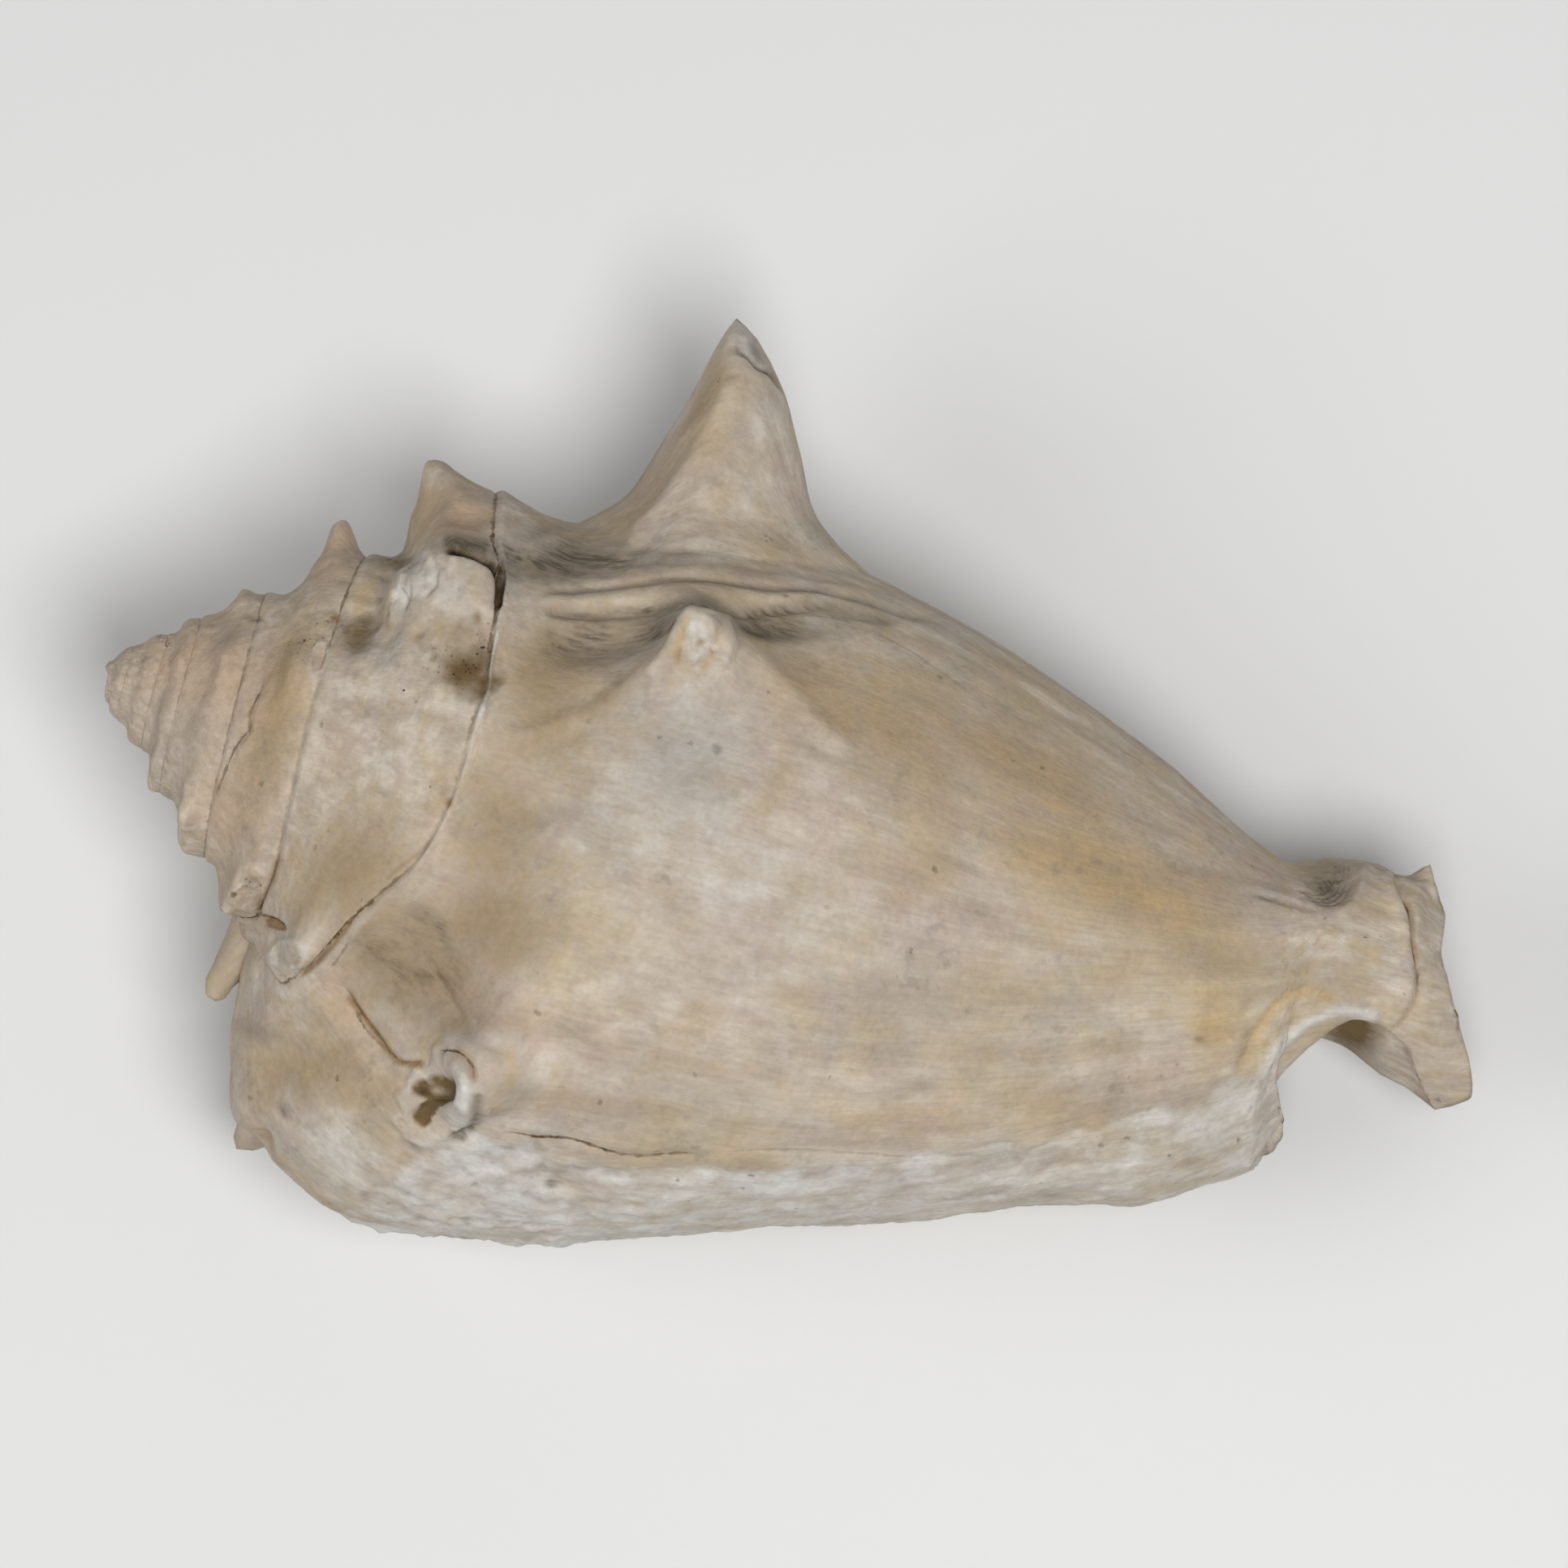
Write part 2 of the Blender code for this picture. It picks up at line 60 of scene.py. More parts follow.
# The outline of a spire whorl between its two sutures, as shares of the steps along and outwards,
# with knobs and on the plain stretches, and how plain the spire is by turn
WHORL_OUTLINE = [(0, 0), (0.22, 0.04), (0.40, 0.30), (0.54, 0.80), (0.70, 1), (1, 1)]
FLAT_OUTLINE = [(0, 0), (0.18, 0.21), (0.36, 0.42), (0.54, 0.61), (0.74, 0.80), (1, 1)]
FLATNESS = [
    (-6.6, 0.6), (-4.3, 0.5), (-4, 0.1), (-3.8, 0.7), (-3.2, 0.7), (-3, 0.1), (-2.8, 0.6), (-2.5, 0),
    (-2.4, 0.6), (-2.2, 1), (-2.1, 0.7), (-2, 0.1), (-1.6, 0.1), (-1.5, 0), (-1.38, 0), (-1.29, 1),
    (-1.12, 1), (-1.04, 0.6), (-0.95, 0), (0.1, 0),
]
RIBBON_LINES = len(WHORL_OUTLINE) - 1
SUTURE_STEP = 0.4
SUTURE_STEP_LINE = 0.4
SUTURE_STEP_END = 2.2
FULL_STEP_RADIUS = 20.0

# Knobs and spines: turn, line that the tip grows from, lean along, height, half width round the
# shell in turns, reach towards the apex and towards the canal in lines
SPINES = [
    (-0.50, 4, -0.9, 18.8, 0.080, 1.7, 2.4),
    (-0.347, 4, 0, 5.4, 0.048, 1.3, 1.8),
    (-0.128, 4, 0.5, 4.8, 0.038, 1, 1.2),
    (0.045, 3.4, -1.6, 4.2, 0.024, 0.7, 0.7),
    (0.01, 3.55, 0, -1.4, 0.035, 0.4, 0.4),
    (-0.63, 4, 0, 2.5, 0.050, 1.2, 1.6),
    (-0.77, 3.6, 0, 2, 0.050, 1, 1.4),
    (-1.12, 3.4, 0, 2.4, 0.040, 1.5, 2.5),
    (-1.372, 1.8, -0.8, 4.2, 0.042, 1, 2.4),
    (-1.372, 3.8, -0.2, 2.4, 0.042, 1.4, 4),
    (-1.43, 3.9, 0, -1.3, 0.030, 1.6, 1.6),
    (-1.5, 3.4, -2.6, 1.7, 0.050, 1.5, 1.6),
    (-1.5, 2.3, -1.3, 0.9, 0.050, 1.3, 1.6),
    (-2.08, 3.4, -0.8, 2.6, 0.050, 1.4, 1.6),
    (-2.30, 3.4, 0, 1.6, 0.050, 1.4, 1.6),
    (-2.5, 3.4, -0.5, 2.3, 0.050, 1.4, 1.6),
    (-2.5, 4.2, 0, 1.2, 0.050, 1.2, 0.8),
    (-2.9, 3.4, -0.3, 1.2, 0.050, 1.4, 1.6),
    (-3.1, 3.4, -0.3, 1.2, 0.050, 1.4, 1.6),
    (-3.3, 3.4, -0.3, 1, 0.050, 1.4, 1.6),
    (-3.5, 3.4, -0.3, 1, 0.050, 1.4, 1.6),
]
SPINE_ABOVE = [(0, 1), (0.12, 0.86), (0.34, 0.5), (0.62, 0.12), (1, 0)]
SPINE_BELOW = [(0, 1), (0.15, 0.93), (0.33, 0.77), (0.55, 0.44), (0.74, 0.14), (1, 0)]

# The middle of the section bends away from the coil axis towards the canal: along, up, out
MIDDLE = [(0, 0, 0), (82, 0, 0), (105, 3.2, 1.2), (118, 6.3, 2.5), (140, 6.5, 2.5)]

# Columns of the fine surface by turn, closest on the side that shows, and rows across the ribbon
COLUMN_SPANS = [(-0.90, -0.53, 80), (-0.53, 0.03, 380), (0.03, 0.10, 20)]
EDGE_ROWS = 9
RIBBON_ROWS = 80
columns = np.concatenate([np.linspace(*span, endpoint=False) for span in COLUMN_SPANS])
edge_rows = np.linspace(0.0, 0.5, EDGE_ROWS)[:-1]
ribbon_rows = np.concatenate([edge_rows, np.linspace(0.5, RIBBON_LINES, RIBBON_ROWS)])
shell_sheets = []


def smooth(at, knots_at, values):
    """A monotone cubic curve through the values, read at the places given."""
    knots_at = np.asarray(knots_at, float)
    values = np.asarray(values, float)
    step = np.diff(knots_at)
    slope = np.diff(values) / step
    tangent = np.zeros(len(values))
    same = slope[:-1] * slope[1:] > 0
    before = 2 * step[1:] + step[:-1]
    after = step[1:] + 2 * step[:-1]
    mean = (before + after)[same] / (before[same] / slope[:-1][same] + after[same] / slope[1:][same])
    tangent[1:-1][same] = mean
    tangent[0] = slope[0]
    tangent[-1] = slope[-1]
    at = np.clip(at, knots_at[0], knots_at[-1])
    i = np.clip(np.searchsorted(knots_at, at, side="right") - 1, 0, len(step) - 1)
    t = (at - knots_at[i]) / step[i]
    return (
        values[i] * (1 + 2 * t) * (1 - t) ** 2
        + tangent[i] * step[i] * t * (1 - t) ** 2
        + values[i + 1] * t * t * (3 - 2 * t)
        + tangent[i + 1] * step[i] * t * t * (t - 1)
    )


def read(table, at):
    """The smooth curve through a table's rows of place and value, read at the places given."""
    return smooth(at, *zip(*table))


def soft_step(value):
    value = np.clip(value, 0.0, 1.0)
    return value * value * (3 - 2 * value)


def suture(turn):
    turns, along, radius = zip(*SUTURE)
    return smooth(turn, turns, along), smooth(turn, turns, radius)


def spines(turn, line, along, radius):
    """Moves points outwards where the knobs and spines stand."""
    for at_turn, at_line, lean, height, half_width, up, down in SPINES:
        along_line = (line - at_line) / np.where(line < at_line, up, down)
        away = np.minimum(np.hypot((turn - at_turn) / half_width, along_line), 1.0)
        below = 0.5 + 0.5 * np.clip(along_line / np.maximum(away, 0.01), -1.0, 1.0)
        share = read(SPINE_ABOVE, away) * (1 - below) + read(SPINE_BELOW, away) * below
        along = along + lean * share
        radius = radius + height * share
    return along, radius


def suture_step(turn, line):
    """How far a whorl stands out beside the suture, less on the small early whorls."""
    size = SUTURE_STEP * np.clip(suture(turn)[1] / FULL_STEP_RADIUS, 0.0, 1.0)
    rise = np.clip(line / SUTURE_STEP_LINE, 0.0, 1.0)
    return size * rise * soft_step((SUTURE_STEP_END - line) / (SUTURE_STEP_END - SUTURE_STEP_LINE))


def spire_base(turn, line):
    """Along and radius on the spire without its knobs; its whorls end at the suture of the next."""
    numbers = np.arange(len(WHORL_OUTLINE))
    flat = read(FLATNESS, turn)
    found = []
    outlines = zip(zip(*WHORL_OUTLINE), zip(*FLAT_OUTLINE))
    for start, end, (knobbed, plain) in zip(suture(turn), suture(turn + 1), outlines):
        share = smooth(line, numbers, knobbed) * (1 - flat) + smooth(line, numbers, plain) * flat
        found.append(start + (end - start) * share)
    return found


def spire(turn, line):
    along, radius = spire_base(turn, line)
    return spines(turn, line, along, radius + suture_step(turn, line))


def to_points(turn, along, radius):
    """Points of the shell, in its own axes, from turns, distances along the axis and radii."""
    angle = math.pi + 2 * math.pi * turn
    at, up, out = zip(*MIDDLE)
    return np.stack(
        [
            along,
            smooth(along, at, up) + radius * np.cos(angle),
            smooth(along, at, out) + radius * np.sin(angle),
        ],
        axis=-1,
    )


def lay_sheet(name, points, turn, line, inside=0.0):
    """A grid with its corners on the points, and the turn and line of each corner kept on it."""
    rows, count = points.shape[:2]
    bpy.ops.object.select_all(action="DESELECT")
    bpy.ops.mesh.primitive_grid_add(x_subdivisions=count - 1, y_subdivisions=rows - 1, size=2.0)
    sheet = bpy.context.active_object
    sheet.name = name
    mesh = sheet.data
    flat = np.empty(len(mesh.vertices) * 3)
    mesh.vertices.foreach_get("co", flat)
    flat = flat.reshape(-1, 3)
    column = np.rint((flat[:, 0] + 1) / 2 * (count - 1)).astype(int)
    row = np.rint((flat[:, 1] + 1) / 2 * (rows - 1)).astype(int)
    mesh.vertices.foreach_set("co", (points[row, column] * MM).ravel())
    values = {"turn": turn[row, column], "line": line[row, column], "inside": np.full(len(row), inside)}
    for kept, numbers in values.items():
        mesh.attributes.new(kept, "FLOAT", "POINT").data.foreach_set("value", numbers.astype(np.float32))
    corners = np.empty(len(mesh.loops), int)
    mesh.loops.foreach_get("vertex_index", corners)
    growth = mesh.uv_layers.new(name="growth")
    pairs = np.stack([values["turn"][corners], values["line"][corners]], axis=-1)
    growth.data.foreach_set("uv", pairs.astype(np.float32).ravel())
    for other in [layer for layer in mesh.uv_layers if layer.name != "growth"]:
        mesh.uv_layers.remove(other)
    shell_sheets.append(sheet)


spire_turns = np.concatenate([columns - whorl for whorl in range(6, 0, -1)] + [columns[:1]])
spire_turns = spire_turns[spire_turns >= SPIRE_START]
line, turn = np.meshgrid(ribbon_rows, spire_turns, indexing="ij")
lay_sheet("spire", to_points(turn, *spire(turn, line)), turn, line)

# The last whorl, three times as long as the spire, with the long spine on its shoulder. Lines run
# round it from the suture to the tip of the canal, each a smooth curve through the knots measured
# on it: turn, along, radius. The first lines go on from the ribbon's
LAST_WHORL = [
    ("suture", []),
    ("upper ramp", [(-0.75, 27, 22.9), (-0.5, 32.8, 25.7), (-0.25, 36.4, 25.8),
                    (-0.158, 32.5, 26.8), (-0.09, 27.5, 28), (0, 20.6, 28.2), (0.1, 22.5, 28)]),
    ("lower ramp", [(-0.75, 29.5, 23.4), (-0.5, 37, 25.3), (-0.25, 41, 26.2),
                    (-0.158, 37, 28.4), (-0.09, 31, 31), (0, 21.4, 31.2), (0.1, 23.2, 31)]),
    ("shoulder", [(-0.75, 32.5, 25), (-0.5, 42.5, 26.9), (-0.25, 46.5, 27.8),
                  (-0.125, 38, 33), (0, 22.8, 35.5), (0.1, 25, 34)]),
    ("spines", [(-0.75, 36.5, 26.3), (-0.5, 48, 29.2), (-0.25, 52, 29.6),
                (-0.125, 42, 36), (0, 28, 39.2), (0.1, 30, 37)]),
    ("flank", [(-0.75, 42, 26.5), (-0.5, 54, 29.5), (-0.25, 57, 30.3),
               (-0.125, 50, 36.5), (0, 37.5, 42.4), (0.1, 38, 38.5)]),
    ("upper belly", [(-0.9, 33, 25.3), (-0.75, 50, 25.8), (-0.5, 62, 28.8), (-0.25, 64, 30),
                     (-0.125, 60, 35.5), (0, 50, 40.4), (0.1, 50, 37.5)]),
    ("belly", [(-0.9, 52, 21.4), (-0.75, 62, 24.3), (-0.5, 72, 27.1), (-0.25, 72, 29.3),
               (-0.125, 71, 33.5), (0, 65, 35.4), (0.1, 64, 33.5)]),
    ("lower belly", [(-0.9, 72, 18), (-0.75, 76, 21), (-0.5, 84, 23.9), (-0.25, 84, 25),
                     (-0.125, 83, 28.5), (0, 80, 30.2), (0.1, 80, 29)]),
    ("waist", [(-0.9, 90, 13.9), (-0.75, 92, 16), (-0.5, 96, 18), (-0.25, 96, 19.8),
               (-0.125, 96, 23), (0, 95, 25.7), (0.1, 95, 25.7)]),
    ("neck", [(-0.9, 104, 10.6), (-0.75, 104, 11.5), (-0.5, 105.5, 11.8), (-0.25, 106, 14.8),
              (-0.125, 106, 18.8), (0, 106.5, 24), (0.08, 107.5, 24.4)]),
    ("lip corner", [(-0.9, 110, 9.4), (-0.75, 110, 9.8), (-0.5, 110.5, 8.9), (-0.25, 111.5, 12.5),
                    (-0.125, 112.5, 15.5), (0, 115, 20.6), (0.03, 115.2, 21)]),
    ("lip corner, notch side", [(-0.9, 112, 9.5), (-0.75, 112, 9.5), (-0.5, 112.2, 9),
                                (-0.25, 113, 11.8), (-0.125, 113.4, 14.2), (-0.02, 116.7, 16.6)]),
    ("notch, lip side", [(-0.9, 114, 9.3), (-0.75, 113.5, 9.3), (-0.5, 113.8, 9.3),
                         (-0.25, 114.5, 11), (-0.15, 113.8, 12.5), (-0.07, 114.2, 14)]),
    ("notch, top", [(-0.9, 119, 9.3), (-0.75, 117.5, 8.8), (-0.5, 117.5, 9.3),
                    (-0.25, 119, 9.5), (-0.165, 119.6, 9.3)]),
    ("notch, tip side", [(-0.92, 124.5, 9.5), (-0.75, 121.5, 8), (-0.5, 120.3, 9),
                         (-0.3, 123.5, 8), (-0.11, 125, 8)]),
    ("tip", [(-0.978, 129.5, 11.2), (-0.908, 128.5, 6.5), (-0.728, 126, 3.5), (-0.58, 124.5, 6.3),
             (-0.5, 122.8, 10), (-0.43, 125.4, 7.2), (-0.32, 126.6, 6.2), (-0.18, 129, 6.5),
             (-0.035, 132.1, 9.2), (0.022, 129.5, 11.2)]),
]
LAST_WHORL_END = 0.1
LAST_LINE = len(LAST_WHORL) - 1
ROWS_BY_LINE = [24, 30, 36, 38, 32, 26, 10, 10, 18, 18, 16]
body_rows = [
    np.linspace(RIBBON_LINES + step, RIBBON_LINES + step + 1, count + 1)[1:]
    for step, count in enumerate(ROWS_BY_LINE)
]
all_rows = np.concatenate([ribbon_rows, *body_rows])


def blend_lines(values, line):
    """Blends values given at whole line numbers, which run down the first axis, smoothly."""
    step = np.diff(values, axis=0)
    tangent = np.zeros_like(values)
    product = step[:-1] * step[1:]
    both = step[:-1] + step[1:]
    tangent[1:-1] = np.where(product > 0, 2 * product / np.where(product > 0, both, 1.0), 0.0)
    tangent[0] = step[0]
    tangent[-1] = step[-1]
    i = np.clip(np.floor(line).astype(int), 0, len(values) - 2)
    t = line - i
    place = np.indices(line.shape)
    here = (i, *place)
    there = (i + 1, *place)
    return (
        values[here] * (1 + 2 * t) * (1 - t) ** 2
        + tangent[here] * t * (1 - t) ** 2
        + values[there] * t * t * (3 - 2 * t)
        + tangent[there] * t * t * (t - 1)
    )


def last_whorl(share, line, with_spines=True):
    """Turn, along and radius on the last whorl, from its start to its lip."""
    start_turn = LAST_WHORL_START + share * (LAST_WHORL_END - LAST_WHORL_START)
    found = [(start_turn, *suture(start_turn))]
    for number, (name, knots) in enumerate(LAST_WHORL[1:], start=1):
        if number <= RIBBON_LINES:
            along, radius = spire_base(np.array(LAST_WHORL_START), np.array(float(number)))
            knots = [(LAST_WHORL_START, float(along), float(radius)), *knots]
        turns, along, radius = zip(*knots)
        turn = turns[0] + share * (turns[-1] - turns[0])
        found.append((turn, smooth(turn, turns, along), smooth(turn, turns, radius)))
    turn, along, radius = (blend_lines(np.stack(values), line) for values in zip(*found))
    if with_spines:
        radius = radius + suture_step(turn, line)
        along, radius = spines(turn, line, along, radius)
    return turn, along, radius


shares = np.append(columns - LAST_WHORL_START, 1.0)
line, share = np.meshgrid(all_rows, shares, indexing="ij")
turn, along, radius = last_whorl(share, line)
outer = to_points(turn, along, radius)
lay_sheet("last_whorl", outer, turn, line)

# The end of the canal, where the shell stopped growing forwards: a thin edge, closed here by rings
# that grow even towards their middle
TIP_RINGS = 6
EVENING_STEPS = 300
tip = outer[-1]
inward = np.linspace(0.0, 1.0, TIP_RINGS)[:, None, None]
tip_turn = np.repeat(turn[-1:], TIP_RINGS, axis=0)
evened = tip
for step in range(EVENING_STEPS):
    evened = (np.roll(evened, 2, axis=0) + 2 * evened + np.roll(evened, -2, axis=0)) / 4
ring = tip + (evened - tip) * soft_step(inward * 2.5)
tip_sheet = ring * (1 - inward) + tip.mean(axis=0) * inward
lay_sheet("tip", tip_sheet, tip_turn, np.full_like(tip_turn, LAST_LINE))

# The opening: the snail left a thick rounded lip, and the inside of the last whorl runs back from
# it. Lip edge and wall thickness, depth as a share of the whorl, and loss of radius, all by line
LIP_EDGE = [(5, 4.5), (9, 4.5), (10, 3.8), (11, 2.4), (12, 1.8), (13, 1.5), (14, 1.2), (15, 1.2), (16, 0)]
WALL = [(5, 3), (9, 2.8), (10, 2.4), (11, 2), (12, 1.8), (13, 1.7), (14, 1.8), (15, 1.4), (16, 0)]
HOLLOW_DEPTH = [(5, 0.34), (8, 0.38), (10, 0.40), (12, 0.42), (13, 0.42), (14, 0.36), (15, 0.28), (16, 0.20)]
INNER_LOSS = [(5, 0.20), (6, 0.50), (7, 0.85), (8, 1), (14, 0.9), (15, 0.8), (16, 0.8)]
SPIRAL_LOSS = [(0, 0), (0.08, 0.30), (0.25, 0.52), (0.5, 0.62), (1, 0.66)]
OUTER_LINES = [(5, 0.6), (5.5, 2.4), (6, 4), (6.5, 5.6), (7, 7), (16, 16)]
CORNER_SET_BACK = 3.0
LIP_ROUNDING = 1.3
HOLLOW_COLUMNS = 34
LIP_COLUMNS = 9


def corner(turn):
    """The line inside the suture where the hollow's outer and inner walls meet."""
    along, radius = suture(turn)
    back = np.clip((LAST_WHORL_END - turn) / 0.3, 0.0, 1.0)
    return along + CORNER_SET_BACK * back, radius + 0.3 * back


def hollow_outer_wall(back, line):
    """The inner side of the last whorl's wall, back from the lip by shares of the hollow."""
    outer_line = read(OUTER_LINES, line)
    share = 1.0 - back * read(HOLLOW_DEPTH, line)
    turn, along, radius = last_whorl(share, outer_line, with_spines=False)
    line_up = np.clip(outer_line - 0.1, 0.0, LAST_LINE)
    line_down = np.clip(outer_line + 0.1, 0.0, LAST_LINE)
    _, along_up, radius_up = last_whorl(share, line_up, with_spines=False)
    _, along_down, radius_down = last_whorl(share, line_down, with_spines=False)
    run = np.maximum(np.hypot(along_down - along_up, radius_down - radius_up), 1e-6)
    near_lip = soft_step(back / 0.25)
    thickness = read(LIP_EDGE, line) * (1 - near_lip) + read(WALL, line) * near_lip
    along = along + thickness * (radius_down - radius_up) / run
    radius = radius - thickness * (along_down - along_up) / run
    corner_along, corner_radius = corner(turn)
    at_corner = line <= RIBBON_LINES
    return turn, np.where(at_corner, corner_along, along), np.where(at_corner, corner_radius, radius)


def hollow_inner_wall(back, line):
    """The wall that the last whorl grew over, back from the opening by shares of the hollow."""
    turn_end, _, _ = last_whorl(np.ones_like(line), line)
    turn_start, along, radius = last_whorl(np.zeros_like(line), line)
    depth = (turn_end - turn_start) * read(HOLLOW_DEPTH, line)
    length = 1.0 - (turn_end - turn_start) + depth
    turn = turn_start - back * length
    loss = read(SPIRAL_LOSS, back * length) * read(INNER_LOSS, line)
    corner_along, corner_radius = corner(turn + 1)
    near_corner = soft_step(1.0 - (line - RIBBON_LINES) / 1.6)
    first_along, _ = suture(LAST_WHORL_END)
    along = along + (corner_along - first_along) * near_corner
    radius = radius * (1.0 - loss) * (1 - near_corner) + corner_radius * near_corner
    return turn, along, radius


back = np.linspace(0.0, 1.0, HOLLOW_COLUMNS) ** 1.2
line, share = np.meshgrid(all_rows, back, indexing="ij")
below = np.maximum(line, RIBBON_LINES)
outer_turn, outer_along, outer_radius = hollow_outer_wall(share, below)
inner_turn, inner_along, inner_radius = hollow_inner_wall(share, below)
outer_wall = to_points(outer_turn, outer_along, outer_radius)
inner_wall = to_points(inner_turn, inner_along, inner_radius)
outer_wall[:, -1] = (outer_wall[:, -1] + inner_wall[:, -1]) / 2
on_corner = all_rows <= RIBBON_LINES
inner_wall[on_corner] = outer_wall[on_corner]
outer_wall[on_corner, 0] = outer[0, -1]
inner_wall[:, 0] = outer[:, 0]
outer_wall[-1] = outer[-1, -1]
inner_wall[-1] = outer[-1, -1]
hollow = np.concatenate([outer_wall, inner_wall[:, -2::-1]], axis=1)
hollow_turn = np.concatenate([outer_turn, inner_turn[:, -2::-1]], axis=1)
hollow_line = np.concatenate([line, line[:, -2::-1]], axis=1)
first = int(np.argmax(all_rows >= RIBBON_LINES))
lay_sheet("hollow", hollow[first:], hollow_turn[first:], hollow_line[first:], inside=1.0)

edge = outer[:, -1]
across = np.linspace(0.0, 1.0, LIP_COLUMNS)[None, :, None]
growing = edge - outer[:, -2]
growing = growing / np.maximum(np.linalg.norm(growing, axis=1, keepdims=True), 1e-6)
thick = np.linalg.norm(outer_wall[:, 0] - edge, axis=1, keepdims=True)
bulge = growing * np.minimum(LIP_ROUNDING, thick * 0.3)
bulge = bulge * soft_step((LAST_LINE - all_rows[:, None]) / 2)
lip = edge[:, None] * (1 - across) + outer_wall[:, :1] * across + bulge[:, None] * np.sin(math.pi * across)
lip_turn = np.repeat(turn[:, -1:], LIP_COLUMNS, axis=1)
lip_line = np.repeat(all_rows[:, None], LIP_COLUMNS, axis=1)
lay_sheet("lip", lip, lip_turn, lip_line)

# The worn finger of a spine beside the lip, a flattened tube closed at both ends, set into the last
# whorl: along, up, half widths across the picture and into it
FINGER = [
    (20.4, -14, 0, 0), (20.4, -14.5, 2.4, 2.6), (20.1, -17.6, 2.3, 2.6), (19.8, -20, 2, 2.3),
    (19.2, -22.5, 1.75, 2), (18.4, -24.8, 1.3, 1.6), (18.35, -25.8, 0.95, 1.1), (18.4, -26.3, 0, 0),
]
FINGER_OUT = -1.0
FINGER_ROWS = 40
FINGER_COLUMNS = 36
knots = np.linspace(0.0, 1.0, len(FINGER)) ** 0.9
around = np.linspace(0, 2 * math.pi, FINGER_COLUMNS)
share, angle = np.meshgrid(np.linspace(0, 1, FINGER_ROWS), around, indexing="ij")
finger_at, finger_up, wide, deep = (smooth(share, knots, values) for values in zip(*FINGER))
finger = np.stack(
    [finger_at + wide * np.cos(angle), finger_up, FINGER_OUT + deep * np.sin(angle)], axis=-1
)
lay_sheet("finger", finger, -1.0 + 0.02 * np.cos(angle), 1.0 + 3.0 * share)

# The shell is one piece of stone, so its sheets are joined to one closed skin: what meets is merged,
# what is still open is filled, and the faces are turned outwards
MERGE = 1e-6
bpy.ops.object.select_all(action="DESELECT")
for sheet in shell_sheets:
    sheet.select_set(True)
shell = shell_sheets[1]
bpy.context.view_layer.objects.active = shell
bpy.ops.object.join()
shell.name = "conch"
bpy.ops.object.mode_set(mode="EDIT")
bpy.ops.mesh.select_all(action="SELECT")
bpy.ops.mesh.remove_doubles(threshold=MERGE)
bpy.ops.mesh.dissolve_degenerate(threshold=MERGE)
bpy.ops.mesh.select_all(action="DESELECT")
bpy.ops.mesh.select_non_manifold(
    extend=False, use_wire=False, use_multi_face=False, use_non_contiguous=False, use_verts=False
)
bpy.ops.mesh.fill()
bpy.ops.mesh.select_all(action="SELECT")
bpy.ops.mesh.normals_make_consistent(inside=False)
bpy.ops.object.mode_set(mode="OBJECT")

# The skin's relief: growth lines along every old lip, soft waves, small ribs on the early whorls.
# It is in millimetres, and patches of colour are kept with it as values on the skin. Places on the
# picture of the back are along the axis and up, as they are seen from the camera
mesh = shell.data
count = len(mesh.vertices)
flat = np.empty(count * 3)
mesh.vertices.foreach_get("co", flat)
coil = flat.reshape(-1, 3) / MM
mesh.vertex_normals.foreach_get("vector", flat)
normals = flat.reshape(-1, 3).copy()
kept = {}
for name in ("turn", "line", "inside"):
    numbers = np.empty(count, np.float32)
    mesh.attributes[name].data.foreach_get("value", numbers)
    kept[name] = numbers.astype(float)
turns, lines, inside = kept["turn"], kept["line"], kept["inside"]
along, up, out = coil.T
middle_out = read([(at, out_at) for at, _, out_at in MIDDLE], along)
faces_back = soft_step((normals[:, 2] + 0.15) / 0.3) * (out > middle_out - 6.0) * (inside < 0.5)
PICTURE_MIDDLE = (63.45, 7.6)
PICTURE_DISTANCE = 1207.5
nearness = PICTURE_DISTANCE / (PICTURE_DISTANCE - out)
seen_along = PICTURE_MIDDLE[0] + (along - PICTURE_MIDDLE[0]) * nearness
seen_up = PICTURE_MIDDLE[1] + (up - PICTURE_MIDDLE[1]) * nearness
outside = (inside < 0.5).astype(float)
# Some tones are painted shade in places: the grey, the brown and the dark ones in hollows and crevices
TONES = ("tan", "ochre", "peach", "ash", "chalk", "grey", "rust", "stain", "dark", "specks")
RIBS_PER_TURN = 9
RIBS_END = -2.0
RIB_HEIGHT = 0.022
RIB_LINE = 3.3
RIB_HALF_WIDTH = 1.3
relief = np.zeros(count)
tones = {name: np.zeros(count) for name in TONES}


def cloudy(places, octaves):
    return np.array([noise.fractal(Vector(place), 1.0, 2.0, octaves) for place in places])


def grain(size, octaves=3, seed=0.0):
    """Cloudy noise about -1 to 1, in cells of this many millimetres."""
    return cloudy(coil / size + seed, octaves)


def growth_grain(per_turn, per_line, octaves=3, seed=0.0):
    """Noise in lines that run along the lip as it was at each stage of growth."""
    return cloudy(np.stack([turns * per_turn, lines * per_line, np.full(count, seed)], axis=-1), octaves)


def mark(weight, height=0.0, **shades):
    """Raises the skin by this height where the weight is 1, and tones it there."""
    relief[:] += height * weight
    for name, strength in shades.items():
        tones[name] = np.maximum(tones[name], strength * weight)


